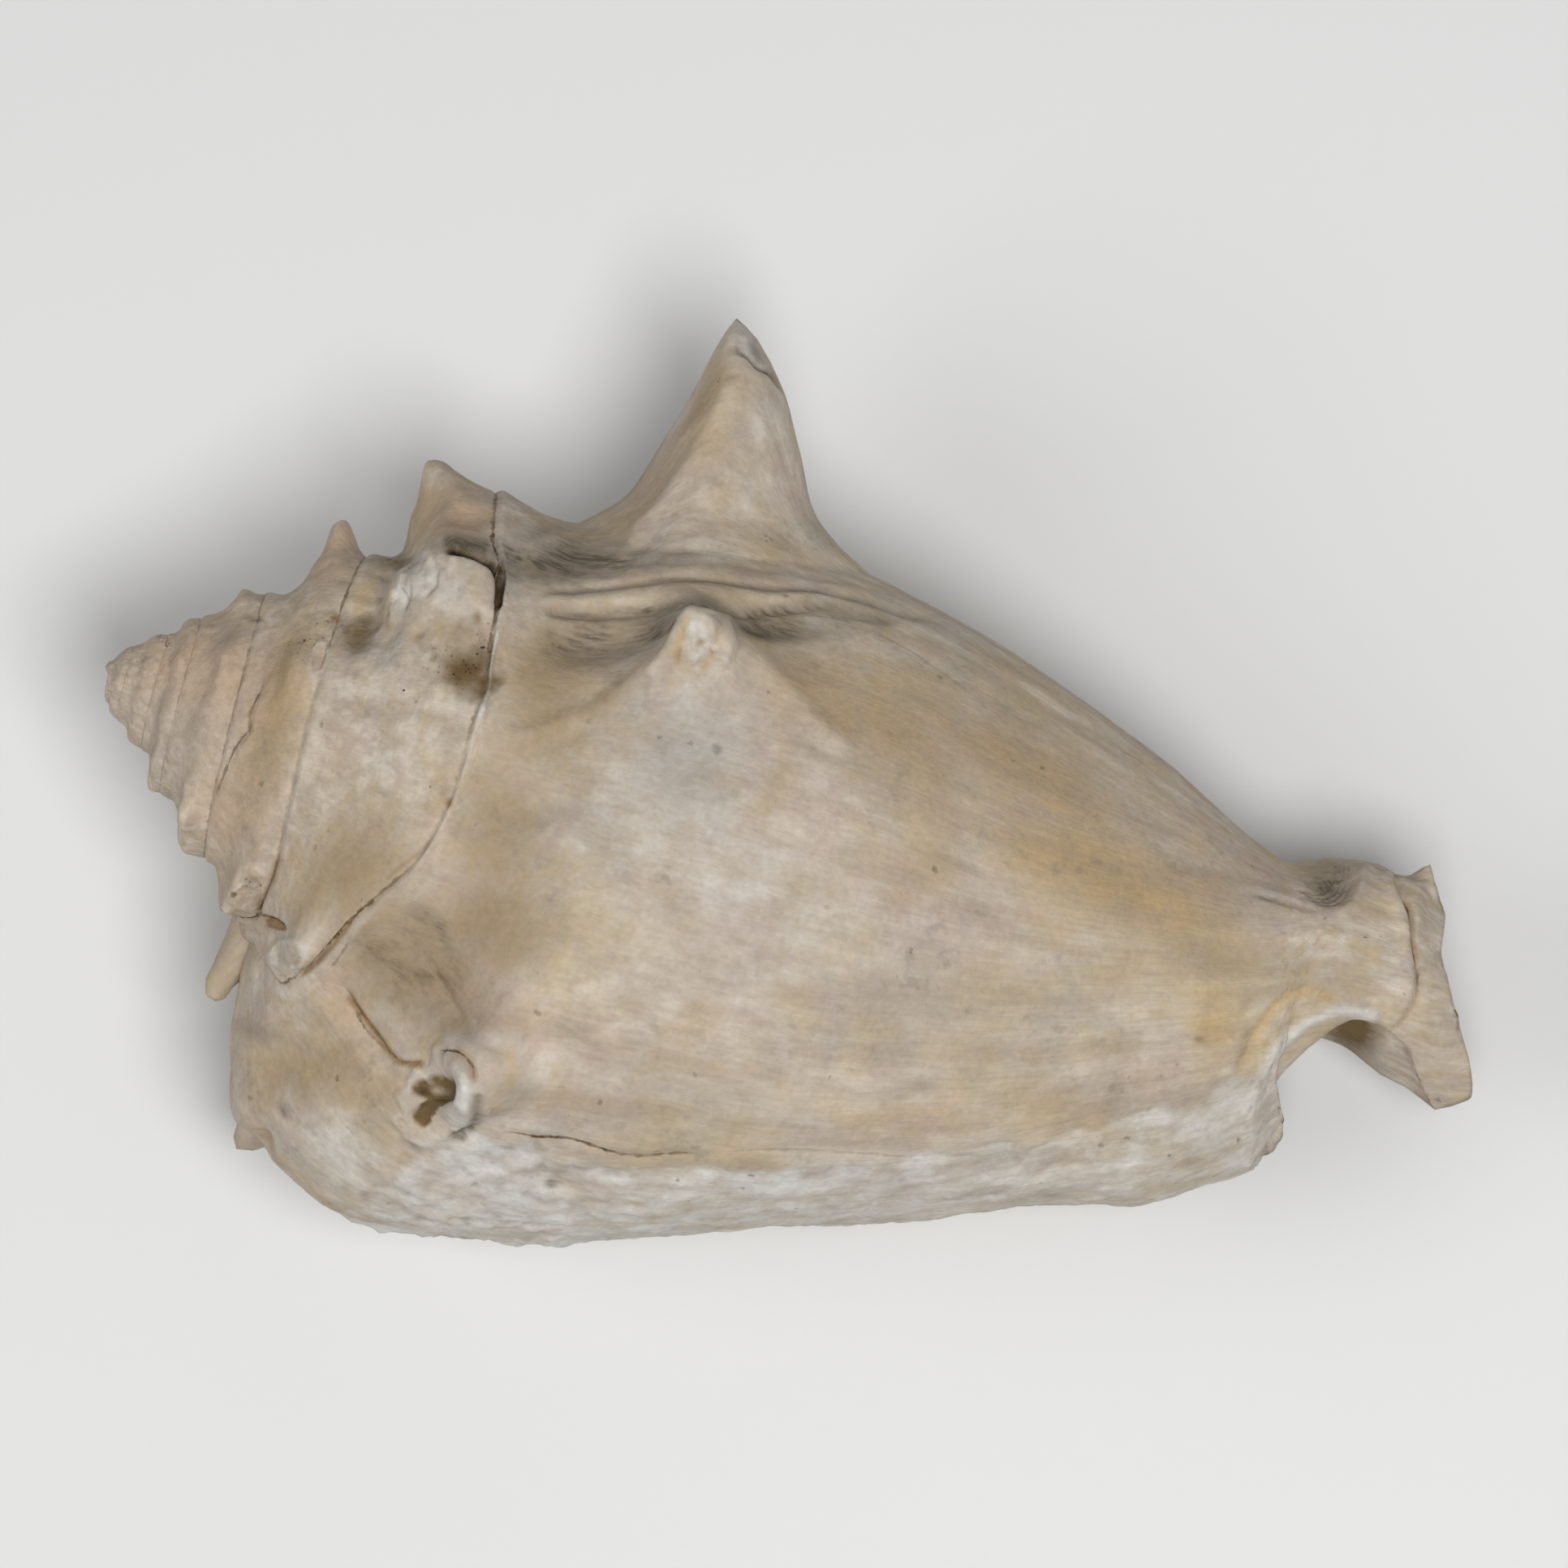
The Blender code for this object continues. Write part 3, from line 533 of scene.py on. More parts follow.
cloud = grain(9.0)
crumb = grain(1.3, octaves=2, seed=3.0)
patchy = grain(3.2, seed=13.0)
chips = grain(1.7, octaves=2, seed=17.0)
growth = growth_grain(70.0, 0.5, seed=5.0)
growth_wide = growth_grain(16.0, 0.35, octaves=2, seed=11.0)
WAVES = [(0.06, growth), (0.12, growth_wide), (0.16, cloud), (0.035, crumb), (0.05, patchy)]
relief += outside * sum(height * pattern for height, pattern in WAVES)
rib_rise = np.exp(-(((lines - RIB_LINE) / RIB_HALF_WIDTH) ** 2)) * soft_step(RIBS_END - turns) * outside
relief += RIB_HEIGHT * np.hypot(up, out) * np.cos(2 * math.pi * RIBS_PER_TURN * turns + 2 * cloud) * rib_rise

# The sutures: a crevice where each whorl grew over the one before, with the thin raised edge of the
# younger whorl beside it. The dark line in it is kept as a distance, so that it stays crisp
YOUNG_LINE = 2.6
OLD_LINE = 2.4
CREVICE_DEPTH = 0.16
CREVICE_HALF_WIDTH = 0.20
EDGE_AT = 0.7
EDGE_HEIGHT = 0.12
CRACK_REACH = 1.6
GROOVE_HALF_WIDTH = 0.3
SEAM_FADE = 0.8
# How strong the dark line is, by turn
SEAM = [
    (-6.6, 0.5), (-3, 0.5), (-2, 0.55), (-1.6, 0.55), (-1.42, 0.6), (-1.36, 0.9), (-1.3, 0.25),
    (-1.2, 0.2), (-1.12, 0.7), (-1.08, 1), (-1, 1), (-0.6, 0.6), (-0.5, 0.75), (-0.43, 0.8), (-0.4, 1),
    (-0.33, 1), (-0.3, 0.9), (-0.26, 0.3), (-0.22, 0.3), (-0.19, 0.6), (-0.158, 0.95), (-0.13, 1),
    (-0.09, 0.85), (-0.06, 0.2), (0.1, 0.1),
]
on_ribbon = outside * (lines <= RIBBON_LINES)
whorl_size = np.clip(np.hypot(up, out) / 22.0, 0.15, 1.0)
older_side = (lines > RIBBON_LINES / 2) & (turns < LAST_WHORL_START)
below_suture = lines * YOUNG_LINE
above_suture = np.where(older_side, (lines - RIBBON_LINES) * OLD_LINE, CRACK_REACH)
beside = np.where(lines < RIBBON_LINES / 2, below_suture, above_suture)
crevice = np.exp(-((beside / CREVICE_HALF_WIDTH) ** 2)) * on_ribbon * whorl_size
mark(crevice * (0.75 + 0.5 * growth), -CREVICE_DEPTH)
mark(np.exp(-(((below_suture - EDGE_AT) / 0.35) ** 2)) * on_ribbon * whorl_size, EDGE_HEIGHT)
mark(np.exp(-(((below_suture - EDGE_AT) / 0.4) ** 2)) * on_ribbon * whorl_size, chalk=0.22)
seam_near = np.exp(-((beside / SEAM_FADE) ** 2)) * on_ribbon
seam_near *= read(SEAM, np.where(older_side, turns + 1, turns))
crack_fields = {name: [np.full(count, CRACK_REACH), np.zeros(count)] for name in ("crack", "crease")}
crack_fields["seam"] = [beside, seam_near]

# The wide crevice above the penultimate knob, painted dark brown and black as shadow, and the rusty
# lower end of the same suture. Lines and patches are pressed into the skin and toned where they lie


def trace(path, reach):
    """Which places lie within reach of a smooth line through the points, how far they are from it,
    with a minus on its right, and how far along it they are."""
    path = np.array(path, float)
    knots = np.append(0.0, np.cumsum(np.hypot(*np.diff(path, axis=0).T)))
    at = np.linspace(0.0, knots[-1], max(8, int(knots[-1] / 0.7)))
    fine = np.stack([smooth(at, knots, path[:, 0]), smooth(at, knots, path[:, 1])], axis=-1)
    near = (seen_along > fine[:, 0].min() - reach) & (seen_along < fine[:, 0].max() + reach)
    near &= (seen_up > fine[:, 1].min() - reach) & (seen_up < fine[:, 1].max() + reach) & (faces_back > 0)
    places = np.stack([seen_along[near], seen_up[near]], axis=-1)
    away = np.full(len(places), 1e9)
    passed = np.zeros(len(places))
    for i in range(len(fine) - 1):
        step = fine[i + 1] - fine[i]
        from_start = places - fine[i]
        t = np.clip((from_start @ step) / (step @ step), 0.0, 1.0)
        distance = np.hypot(*(from_start - t[:, None] * step).T)
        side = np.where(step[0] * from_start[:, 1] < step[1] * from_start[:, 0], -1.0, 1.0)
        nearer = distance < np.abs(away)
        away[nearer] = (distance * side)[nearer]
        passed[nearer] = (at[i] + t * (at[i + 1] - at[i]))[nearer]
    return near, away, passed, knots[-1]


def fade(passed, length, ends):
    return soft_step(passed / ends) * soft_step((length - passed) / ends)


def stroke(path, width, ends=0.0):
    """How near each place is to a line through the points, 1 on it, fading over the width."""
    near, away, passed, length = trace(path, width * 3)
    found = np.zeros(count)
    found[near] = np.exp(-((away / width) ** 2)) * (fade(passed, length, ends) if ends else 1.0)
    return found * faces_back


def draw(path, width, ends=0.0, height=0.0, **shades):
    mark(stroke(path, width, ends), height, **shades)


def crack(path, strength=1.0, depth=0.15, field="crack", ends=1.0):
    """A fine crack, kept as the distance to its line and how strong it is, so that it stays crisp."""
    near, away, passed, length = trace(path, CRACK_REACH)
    kept_away, kept_near = crack_fields[field]
    shown = fade(passed, length, ends) * faces_back[near]
    weight = strength * np.exp(-((away / SEAM_FADE) ** 2)) * shown
    closer = np.abs(away) < np.abs(kept_away[near])
    kept_away[near] = np.where(closer, away, kept_away[near])
    kept_near[near] = np.where(closer, weight, kept_near[near])
    relief[near] -= depth * np.exp(-((away / GROOVE_HALF_WIDTH) ** 2)) * shown


def spot(at_along, at_up, half_long, half_high, lean=0.0, kind="soft", rough=0.0):
    """A soft patch, a flat patch with a steep edge, or a ring, on an ellipse leaning by degrees."""
    angle = math.radians(lean)
    x = (seen_along - at_along) * math.cos(angle) + (seen_up - at_up) * math.sin(angle)
    y = (seen_up - at_up) * math.cos(angle) - (seen_along - at_along) * math.sin(angle)
    away = np.hypot(x / half_long, y / half_high) * (1 + rough * (patchy + chips + 0.3 * crumb))
    if kind == "flat":
        return soft_step((1.15 - away) / 0.35) * faces_back
    if kind == "ring":
        return np.exp(-(((away - 1) / 0.24) ** 2)) * faces_back
    return np.exp(-(away**2)) * faces_back


def patch(at_along, at_up, half_long, half_high, lean=0.0, height=0.0, kind="soft", rough=0.0, **shades):
    mark(spot(at_along, at_up, half_long, half_high, lean, kind, rough), height, **shades)


# Painted shadow: dark brown, black and grey in the crevice above the penultimate knob and over its edge
draw([(27.6, 19.9), (30.3, 20.3), (32, 19.9), (32.9, 18.6), (33.4, 16.4)], 0.42, 0, -0.6, stain=0.9,
     dark=0.55)
patch(31.6, 20.2, 1.6, 0.6, -15, -0.4, stain=0.8, dark=0.55)
draw([(26.6, 20.2), (29.4, 20.8), (31.8, 21)], 0.75, 1, grey=0.95, stain=0.35)
draw([(34.2, 14.5), (34.2, 11.5), (34.9, 8.8), (34.8, 5)], 0.28, 1, 0.22, chalk=0.6)
patch(33.8, 10.5, 0.5, 5, 5, stain=0.45)
patch(29.6, -13.6, 0.6, 0.35, 50, -0.2, stain=0.6, dark=0.5)
patch(28, -16.6, 0.5, 1.6, -20, stain=0.35)
draw([(28.6, -15.2), (27.4, -18.4), (26.2, -20.8), (25, -22)], 0.32, 1, rust=0.75)
crack([(28.8, -17.2), (28.3, -19.2), (27.4, -21.2)], 0.5)

# The folds that the shell laid down between the long spine and the broken knob, and the hollows on
# both sides of that knob, their grey partly dust and partly painted shade
draw([(36, 18.1), (40, 19.6), (44, 21.2), (48, 22.9), (52, 24), (57, 24.6), (62, 25.8), (74, 26)], 0.45, 3,
     -0.35, grey=0.35)
draw([(36, 17.3), (42, 19.1), (48, 21.8), (52, 22.9), (57, 23.7), (62, 25), (70, 25.5)], 0.7, 3, 0.35)
draw([(37, 16.8), (42, 18.1), (46, 19.6), (49, 20.8), (51, 21.6), (54, 21.8), (58, 22.9), (63, 24.6),
      (70, 25)], 0.5, 2, -0.55, grey=0.6)
draw([(40, 21.6), (46, 24), (52, 25.6), (58, 26.4), (66, 27.2)], 0.35, 3, -0.12, grey=0.2)
# The grey and dark in these hollows is painted shade as well as dust
patch(43.2, 15.6, 6, 2.4, 24, -1.3, grey=0.75)
patch(46.4, 17.9, 3.8, 1.5, 32, -0.5, grey=1)
patch(58.6, 21.5, 4.6, 1.1, 12, -0.9, grey=1, dark=0.3)
patch(52.3, 21.9, 1.6, 0.4, 0, -0.3, grey=0.9, dark=0.3)
patch(38.4, 22.1, 6.5, 1.9, 24, -0.4, rough=0.2, grey=1)
patch(36.5, 20.6, 5, 1, 22, -0.1, rough=0.3, grey=0.7)
patch(33.8, 20.6, 2, 2, 20, -0.2, rough=0.2, grey=0.85)
patch(46, 24.2, 8, 0.9, 20, rough=0.2, grey=0.45)
patch(36, 24, 3, 0.8, 20, rough=0.2, grey=0.5)
draw([(49.6, 17.6), (48.4, 14.5), (46.4, 11.5), (43.5, 8.3), (40, 5.6), (36.5, 4)], 1, 4, 0.6)
draw([(37, -3.5), (39.5, -2.6), (42, -1.6), (45, 0), (48, 1.5)], 1.3, 3, -0.35, grey=0.3)
draw([(54.8, 20.4), (57.6, 18.4), (61.4, 16), (66, 13.4), (70, 11.8)], 1, 4, 0.55)
patch(62, 19.5, 5, 1.8, 0, -0.5, tan=0.5)
patch(45.2, 10.2, 6, 1.6, 52, -0.35, tan=0.8, grey=0.25)
draw([(36, 3.2), (39.5, 4.4), (43, 6.6), (46, 9.8)], 0.8, 3, -0.2, tan=0.6, grey=0.15)
draw([(35, -6), (38, -4.6), (41.5, -2.6), (45, -1)], 0.9, 3, tan=0.7, grey=0.3)

crack([(36, 18.4), (42, 20.6), (48, 23.2), (54, 24.4), (62, 25.6), (72, 25.8)], 0.3, 0.12, ends=4)
crack([(37, 16.9), (42, 18.3), (46, 19.8), (50, 21.5), (55, 21.9), (60, 23.6), (70, 24.6)], 0.3, 0.15,
      "crease", 3)
crack([(40, 22.8), (46, 25.4), (53, 26.6), (62, 27)], 0.2, 0.08, "seam", 4)
crack([(58, 22.6), (64, 23.8), (72, 22.4), (80, 19.6)], 0.35, 0.08, ends=4)

# The knob that broke off in the middle of the back: a white chalky face with rings in it, where
# the layers of the shell show
patch(52.4, 19.9, 2.1, 1.6, 0, 0.75, rough=0.3, chalk=0.32)
patch(52.1, 17.6, 1.5, 2.2, 8, -0.85, kind="flat", rough=0.4, chalk=0.65, ochre=0.15)
relief += 0.45 * chips * spot(52.2, 18.0, 2.6, 3.4)
patch(51.6, 18.4, 0.5, 1.4, 15, 0.6, rough=0.4, chalk=0.7)
draw([(51.2, 21.2), (50.1, 19.6), (49.5, 17.6), (49.3, 15.6), (48.6, 13.4)], 0.5, 0.8, 0.4, chalk=0.25)
draw([(53.6, 21.3), (54.7, 19.8), (55.1, 18), (54.8, 16.2)], 0.5, 0.8, 0.45, chalk=0.25)
draw([(51, 20.2), (50.4, 18.6), (50.4, 16.8), (51.2, 15.4)], 0.3, 0.3, -0.3, ochre=1, stain=0.15)
draw([(53.2, 19.9), (53.9, 18.6), (53.9, 16.8), (53.2, 15.6)], 0.3, 0.3, -0.25, ochre=0.9)
patch(52.6, 18.1, 0.5, 0.35, 20, -0.25, rough=0.3, rust=0.8)
patch(50.6, 16.2, 0.5, 0.9, 10, rough=0.3, rust=0.5)

# The long spine: a rounded crest from the fold up to its tip, which broke off and left a chalky
# face with a thin crack below it
draw([(48.6, 45), (47.9, 40), (46.9, 34), (45.2, 28.5), (42, 24.5)], 0.8, 3, 0.5)
# Tan and grey on the spine's left flank, which faces away from the light: painted shade
patch(44.6, 31.5, 6, 1.6, 68, -0.15, tan=0.5, grey=0.12)
patch(46.2, 39.5, 4, 0.9, 78, tan=0.6, grey=0.2)
draw([(47.6, 45), (49.2, 44.9), (50.4, 44.3), (51.4, 44.1), (52.8, 42.9)], 0.28, 0, -0.4, grey=0.7)
crack([(47.8, 45.2), (49.2, 44.9), (50.4, 44.3), (51.4, 44.1), (53, 42.9)], 0.6, 0.15, ends=0.6)
patch(52.5, 37, 3.6, 7.5, 12, rough=0.15, chalk=0.3)
patch(49.6, 46, 2.6, 1.4, -40, -0.3, kind="flat", rough=0.25, chalk=0.35, ash=0.5)
patch(50.2, 45.6, 1.4, 0.5, -45, -0.3, grey=0.5)
patch(48.2, 42.2, 0.9, 0.4, 30, -0.15, rough=0.4, grey=0.4)

# The knob at the lip: an open hole with earth in it and a thick white rim, the crack and the fold
# that run into it, and the soft ripples above
patch(40.9, -28.9, 2.7, 3.4, -8, 0.5, kind="ring", rough=0.3, chalk=0.35)
patch(42.8, -28.4, 1.5, 3.2, 0, 0.35, rough=0.3, chalk=0.8)
patch(41.6, -32.8, 2.4, 1, 25, 0.35, rough=0.4, chalk=0.7)
patch(40, -29, 1.9, 2.2, 20, -1.7)
patch(40.1, -28.5, 2, 1.5, 22, -0.3, kind="flat", rough=0.2, stain=1)
patch(40.1, -30.3, 1, 1.7, -8, kind="flat", rough=0.2, stain=1)
patch(41, -27.8, 0.9, 1, 0, kind="flat", rough=0.25, stain=1, ochre=0.5)
patch(38.9, -29, 0.9, 0.8, 0, kind="flat", rough=0.25, stain=1)
patch(38.5, -29.1, 0.6, 0.9, 0, -0.5, stain=0.9, dark=0.6)
patch(41, -27.6, 0.7, 0.6, 0, -0.5, stain=0.9, dark=0.5)
patch(39.8, -30.9, 0.6, 1.2, -12, -0.4, stain=0.75, ochre=1)
bare = spot(39.4, -28.7, 0.75, 0.6, rough=0.3)
relief += 0.7 * bare
tones["stain"] = tones["stain"] * (1 - 0.7 * bare)
tones["dark"] = tones["dark"] * (1 - bare)
crack([(39.4, -24.9), (41.6, -24.5), (42.8, -25.2), (43.6, -26.6)], 1, 0.35)
draw([(41.6, -24.5), (42.8, -25.2), (43.5, -26.4)], 0.4, rust=0.6)
draw([(41, -25.8), (42.6, -26.6), (43.4, -28.2)], 0.6, 0.5, 0.3, chalk=0.6)
# Grey painted shadow in the dip to the right of the rim
draw([(44.2, -27.5), (44.5, -29.5), (44, -31.8)], 0.55, 0.5, -0.4, grey=0.75)
crack([(28.2, -21.4), (29.6, -22), (31.8, -24), (33.6, -25.2), (35, -26.4), (36.3, -26.8), (38.8, -26.1)],
      0.8, 0.3, ends=2)
crack([(30.2, -23), (31.2, -24), (32.5, -25.2), (33.8, -25.9), (35, -26.6)], 0.7, 0.2, "crease")
draw([(29.6, -22.2), (31.8, -24), (33.6, -25.3), (35, -26.4), (36.4, -26.9), (39, -26.3)], 0.36, 1,
     rust=0.85)
draw([(28, -22), (31.5, -24), (34, -25.9), (36.6, -27.2)], 1.2, 1.5, -0.35)
draw([(26, -23.6), (29.5, -24.9), (31.6, -26.2), (33.4, -27.6), (35.4, -29)], 0.9, 1.5, 0.4)
draw([(39, -24.2), (42, -23.2), (45, -22.2), (47.5, -21.6)], 1.2, 1.5, 0.35, chalk=0.35)
patch(36.5, -18, 9, 5, -35, -0.35, grey=0.42, tan=0.8)
for ripple in range(4):
    draw([(30.4 + 1.4 * ripple, -15.5 - 1.9 * ripple), (33.4 + 1.5 * ripple, -15.6 - 1.6 * ripple),
          (36.6 + 1.2 * ripple, -17.6 - 1.4 * ripple), (39 + 1.2 * ripple, -20.6 - 0.9 * ripple),
          (42.4 + 1.6 * ripple, -22.4 - 0.4 * ripple)], 0.55, 2.5, -0.16, grey=0.32)
draw([(31.5, -13.8), (34.6, -13.4), (37.4, -15.4), (38.8, -18.6), (38.6, -21)], 1.5, 2, -0.15, grey=0.42)
patch(33, -17.2, 3, 1.8, -45, -0.2, rough=0.2, grey=0.45)
patch(33, -18.6, 5.5, 4, -25, tan=0.9, grey=0.5)
patch(36.2, -16.6, 2.6, 1.2, -50, 0.2, rough=0.4, grey=0.35)
patch(32.4, -19.4, 2.2, 1.2, -10, -0.2, rough=0.4, grey=0.4)
patch(41, -20.2, 4.5, 1.2, 10, -0.2, rough=0.4, grey=0.25)
draw([(45.5, -22), (46.5, -24.5), (47, -27)], 0.6, 1, ochre=0.6)
# Grey painted shadow below the rim's right side
patch(43.5, -31.8, 0.8, 0.7, 0, -0.4, kind="flat", rough=0.4, grey=0.9)
patch(39.6, -33.9, 1.4, 0.4, 0, -0.3, rough=0.3, grey=0.6)
patch(36.7, -39.7, 0.5, 0.4, 0, -0.2, grey=0.7)
patch(27.2, -34.2, 0.9, 0.5, -40, -0.15, rough=0.3, grey=0.6)
patch(33.5, -37, 6, 3, -30, rough=0.35, chalk=0.7)
patch(27.5, -36, 3, 1.8, -40, rough=0.3, chalk=0.35)
patch(25.9, -37.9, 1, 1.3, 20, -1.6)

# The thick edge of the lip: a white, rough band with pits, and a thin crack along its upper edge.
# Where it starts, in turns, by place along the axis
BAND_START = [
    (20, 0.10), (30, 0.03), (34, -0.01), (38, -0.055), (42, -0.092), (48, -0.105), (60, -0.108),
    (85, -0.115), (105, -0.125), (112, -0.135), (120, -0.135),
]
BAND_FADE = 0.014
BAND_LAST_LINE = 12.2
torn_edge = 0.010 * patchy + 0.008 * cloud
band_place = outside * (along > 22) * (turns > -0.3) * (lines < BAND_LAST_LINE)
band = soft_step((turns - read(BAND_START, along) + torn_edge) / BAND_FADE) * band_place
rough_part = soft_step((78.0 - along) / 26.0) * band
white_share = 1.0 - 0.35 * soft_step((along - 68.0) / 30.0)
mark(band, -0.25 + 0.12 * crumb + 0.25 * cloud, chalk=white_share * (0.7 + 0.45 * patchy + 0.3 * cloud))
crust = 0.34 * chips - 0.5 * np.maximum(patchy - 0.25, 0)
mark(rough_part, crust, grey=np.clip(-1.1 * chips - 0.35, 0.0, 0.5))
crack([(46.5, -30.5), (50, -30.2), (54, -29.5), (58, -29.6), (60, -29.3), (63, -28.2), (66, -27.2)], 1,
      0.25, ends=3)
crack([(66, -27.2), (74, -24.6), (84, -22.4), (94, -19.6)], 0.35, 0.1, "crease", 4)
draw([(48, -26.4), (56, -25.4), (64, -24.2)], 1, 3, ochre=0.35, grey=0.2)

# The neck and the canal: a pocket above with rings of growth, the groove behind the notch's raised
# rim, the step where the last growth ended, and dark brown inside the canal, dirt and painted shadow
patch(114.6, 12.9, 2.6, 2.2, -35, -1.2, grey=0.85)
draw([(117, 15.4), (117.4, 13.6), (117, 11.6), (115.8, 10.3)], 0.6, 0.5, 0.55)
for ring in range(4):
    shift = 0.62 * ring
    draw([(115.4 - 0.55 * shift, 15.4), (116.2 - shift, 13.4 + 0.1 * shift),
          (115.4 - shift, 11.4 + 0.35 * shift), (113.6 - shift, 10.7 + 0.35 * shift)], 0.16, 0.4, -0.22,
         grey=0.55)
draw([(106, 9.4), (108, 9.7), (110, 9.7), (113, 9.8), (115.5, 10.4)], 0.3, 3, -0.2, grey=0.5)
draw([(98, 9.6), (104, 10.6), (109, 10.8), (113, 10.8)], 0.6, 4, -0.1, grey=0.25)
draw([(103, 2.4), (108, 3.6), (112, 4.7), (116, 4.9), (119, 4.3), (123, 3.2)], 1.7, 4, -0.7, grey=0.22)
draw([(109.5, -2), (111, 1), (113.5, 2.6), (116, 3.3), (119, 3.2)], 0.5, 2, -0.15, grey=0.25)
draw([(111.2, -7), (111.6, -3.4), (112.3, -1), (113.6, 1.4), (116, 2.6), (119, 2.5)], 0.55, 1.5, -0.5,
     ochre=0.9)
draw([(113.4, -6.8), (113.6, -4.4), (114.6, -2.2), (116.4, 0.2), (118.2, 1.5), (120.4, 2.1), (122.6, 1.9)],
     0.6, 0.8, 0.45, chalk=0.8)
step_line = [(119.9, 15.6), (121.2, 13.4), (122.7, 11.7), (123.5, 10.3), (124.2, 9), (124.9, 7.4),
             (125.2, 5.6), (125.1, 4.2), (124.7, 2.6), (123.9, 1.4)]
draw(step_line, 0.3, 0, -0.45, ochre=0.4)
draw(step_line[1:6], 0.35, 1, rust=0.6)
crack(step_line[1:8], 0.9, 0.2)
draw([(place[0] - 0.9, place[1] - 0.3) for place in step_line], 0.7, 0.6, 0.45)
patch(128.6, -3, 1.8, 0.6, -30, -0.3, ash=0.4)
# Dark brown inside the canal: dirt, and painted shadow where it lies deep
mark(np.exp(-(((along - 120.2) / 2.8) ** 2) - (((up - 0.4) / 2.2) ** 2)) * (inside > 0.5), stain=1)

# The spire's broken knobs, small holes and cracks, white where the chalky stone broke, with rust and
# earth in them
patch(25.4, 16.5, 2.1, 2.8, -25, -0.35, kind="flat", rough=0.3, chalk=0.5)
relief += 0.35 * chips * spot(25.4, 16.3, 2.4, 3.0)
patch(29.5, 16.5, 3.2, 2.4, ash=0.5, chalk=0.12)
crack([(23.9, 15.6), (25.2, 14.3), (25.8, 13)], 0.6, 0.2)
patch(26, 17.6, 1.2, 0.6, 10, -0.15, rough=0.4, grey=0.35)
patch(23.8, -20.2, 1.5, 1.3, 20, 0.25, kind="ring", rough=0.15, chalk=0.4)
patch(23.8, -20.2, 2, 1.8, ash=0.4)
patch(24.7, -20.6, 0.3, 0.4, 0, -0.1, rust=0.5)
patch(18.3, -16.2, 1.2, 1, 0, 0.3, kind="ring", rough=0.3, chalk=0.3)
patch(17.4, -16.3, 0.45, 0.35, 0, -0.5, kind="flat", rough=0.3, stain=0.9, dark=0.3)
patch(18.8, -14.6, 0.9, 0.8, 0, -0.15, rough=0.4, grey=0.5)
draw([(18.9, -10), (18.6, -12.5), (18.4, -15)], 0.9, 1.5, 0.5)
patch(19.3, 11, 0.6, 0.5, rust=0.6, stain=0.6)
patch(21.7, -17.8, 1.2, 0.5, -12, -0.3, kind="flat", rough=0.2, rust=0.75)
crack([(19.4, -17.3), (21.2, -17.4), (22.8, -17.9)], 1, 0.3)
draw([(20.5, -12), (20.5, -14), (20.1, -16.8)], 0.45, rust=0.6)
patch(19.6, -16, 0.6, 1.1, rust=0.5, stain=0.35)
patch(18.9, 6.8, 0.7, 1.6, 0, 0.25, kind="ring", chalk=0.3)
crack([(14.6, 4), (14.3, 1.5), (14.1, 0), (14.6, -1), (13.9, -2.2), (13.4, -5), (13.3, -8)], 0.75, 0.2)
draw([(15.3, 4), (14.9, 1), (15, -1.5), (14.4, -3)], 0.4, 0, 0.2)
patch(12.2, 8.9, 0.9, 0.3, 0, -0.2, grey=0.8)
patch(12.4, 2.6, 0.4, 0.9, 0, -0.1, stain=0.45)

# Stains from the ground it lay in, over the whole back: tan and ochre, rosy, ashen and grey, with
# painted shadow in two valleys of the penultimate whorl. The finish tears their edges, so that they look
# soaked in
# Painted shadow, partly olive-brown earth, in the two valleys of the penultimate whorl
patch(32.2, 9.8, 2.9, 2.5, -24, -0.55, rough=0.35, grey=0.7, stain=1, dark=0.42)
patch(21.6, 9.8, 2, 2.6, -38, -0.4, rough=0.35, grey=0.65, stain=0.62)
patch(30.6, 12.6, 2.4, 1.8, tan=0.7, grey=0.3)
patch(26, 11.6, 2.5, 1.2, tan=0.4)
draw([(26.6, 18.5), (26.4, 14), (26.2, 10), (26.4, 6)], 1.3, 3, 0.35, ash=0.3)
patch(54, 7, 6.5, 8, 0, -0.1, rough=0.2, ash=0.95)
patch(50, 0, 6, 6, rough=0.2, ash=0.6)
mark(np.clip(-1.3 * chips - 0.25, 0, 1) * spot(56, 7, 5, 7), -0.12, grey=0.6)
patch(62, -6, 18, 9, -6, rough=0.15, ash=0.35)
patch(63, -1.5, 13, 4.5, -6, rough=0.25, chalk=0.45)
patch(80, -9, 12, 6, -4, rough=0.2, tan=0.3, ash=0.3)
patch(64, -22, 12, 3, 6, rough=0.2, ash=0.5)
patch(110, -11, 6, 3.5, 20, rough=0.2, tan=0.3, ash=0.4)
patch(40.5, 9, 5, 8, 10, tan=0.85, grey=0.25)
patch(39.5, -4, 5.5, 8, 10, tan=0.8, grey=0.22)
patch(41, -12, 6, 6, -20, tan=0.85, grey=0.28)
patch(70, 15.5, 16, 4.5, -14, tan=0.8)
patch(95, 7.5, 14, 4.4, -8, tan=0.95, ochre=0.3)
patch(84, 15, 16, 4, -14, tan=0.8)
patch(96, 2, 20, 2.2, -2, tan=0.25)
patch(92, -14, 14, 2.6, 12, tan=0.3)
patch(80, -19, 16, 1.4, 9, ochre=0.3)
patch(108.3, -3, 2.8, 2.8, rough=0.3, ochre=1, tan=0.3)
patch(107, -0.5, 2.4, 1.6, rough=0.3, ochre=0.7)
patch(107.6, -3.4, 1.8, 1.4, rough=0.4, rust=0.22)
patch(106.8, -4.5, 0.7, 0.4, rough=0.3, rust=0.7)
patch(118, 8, 6, 5, tan=0.12)
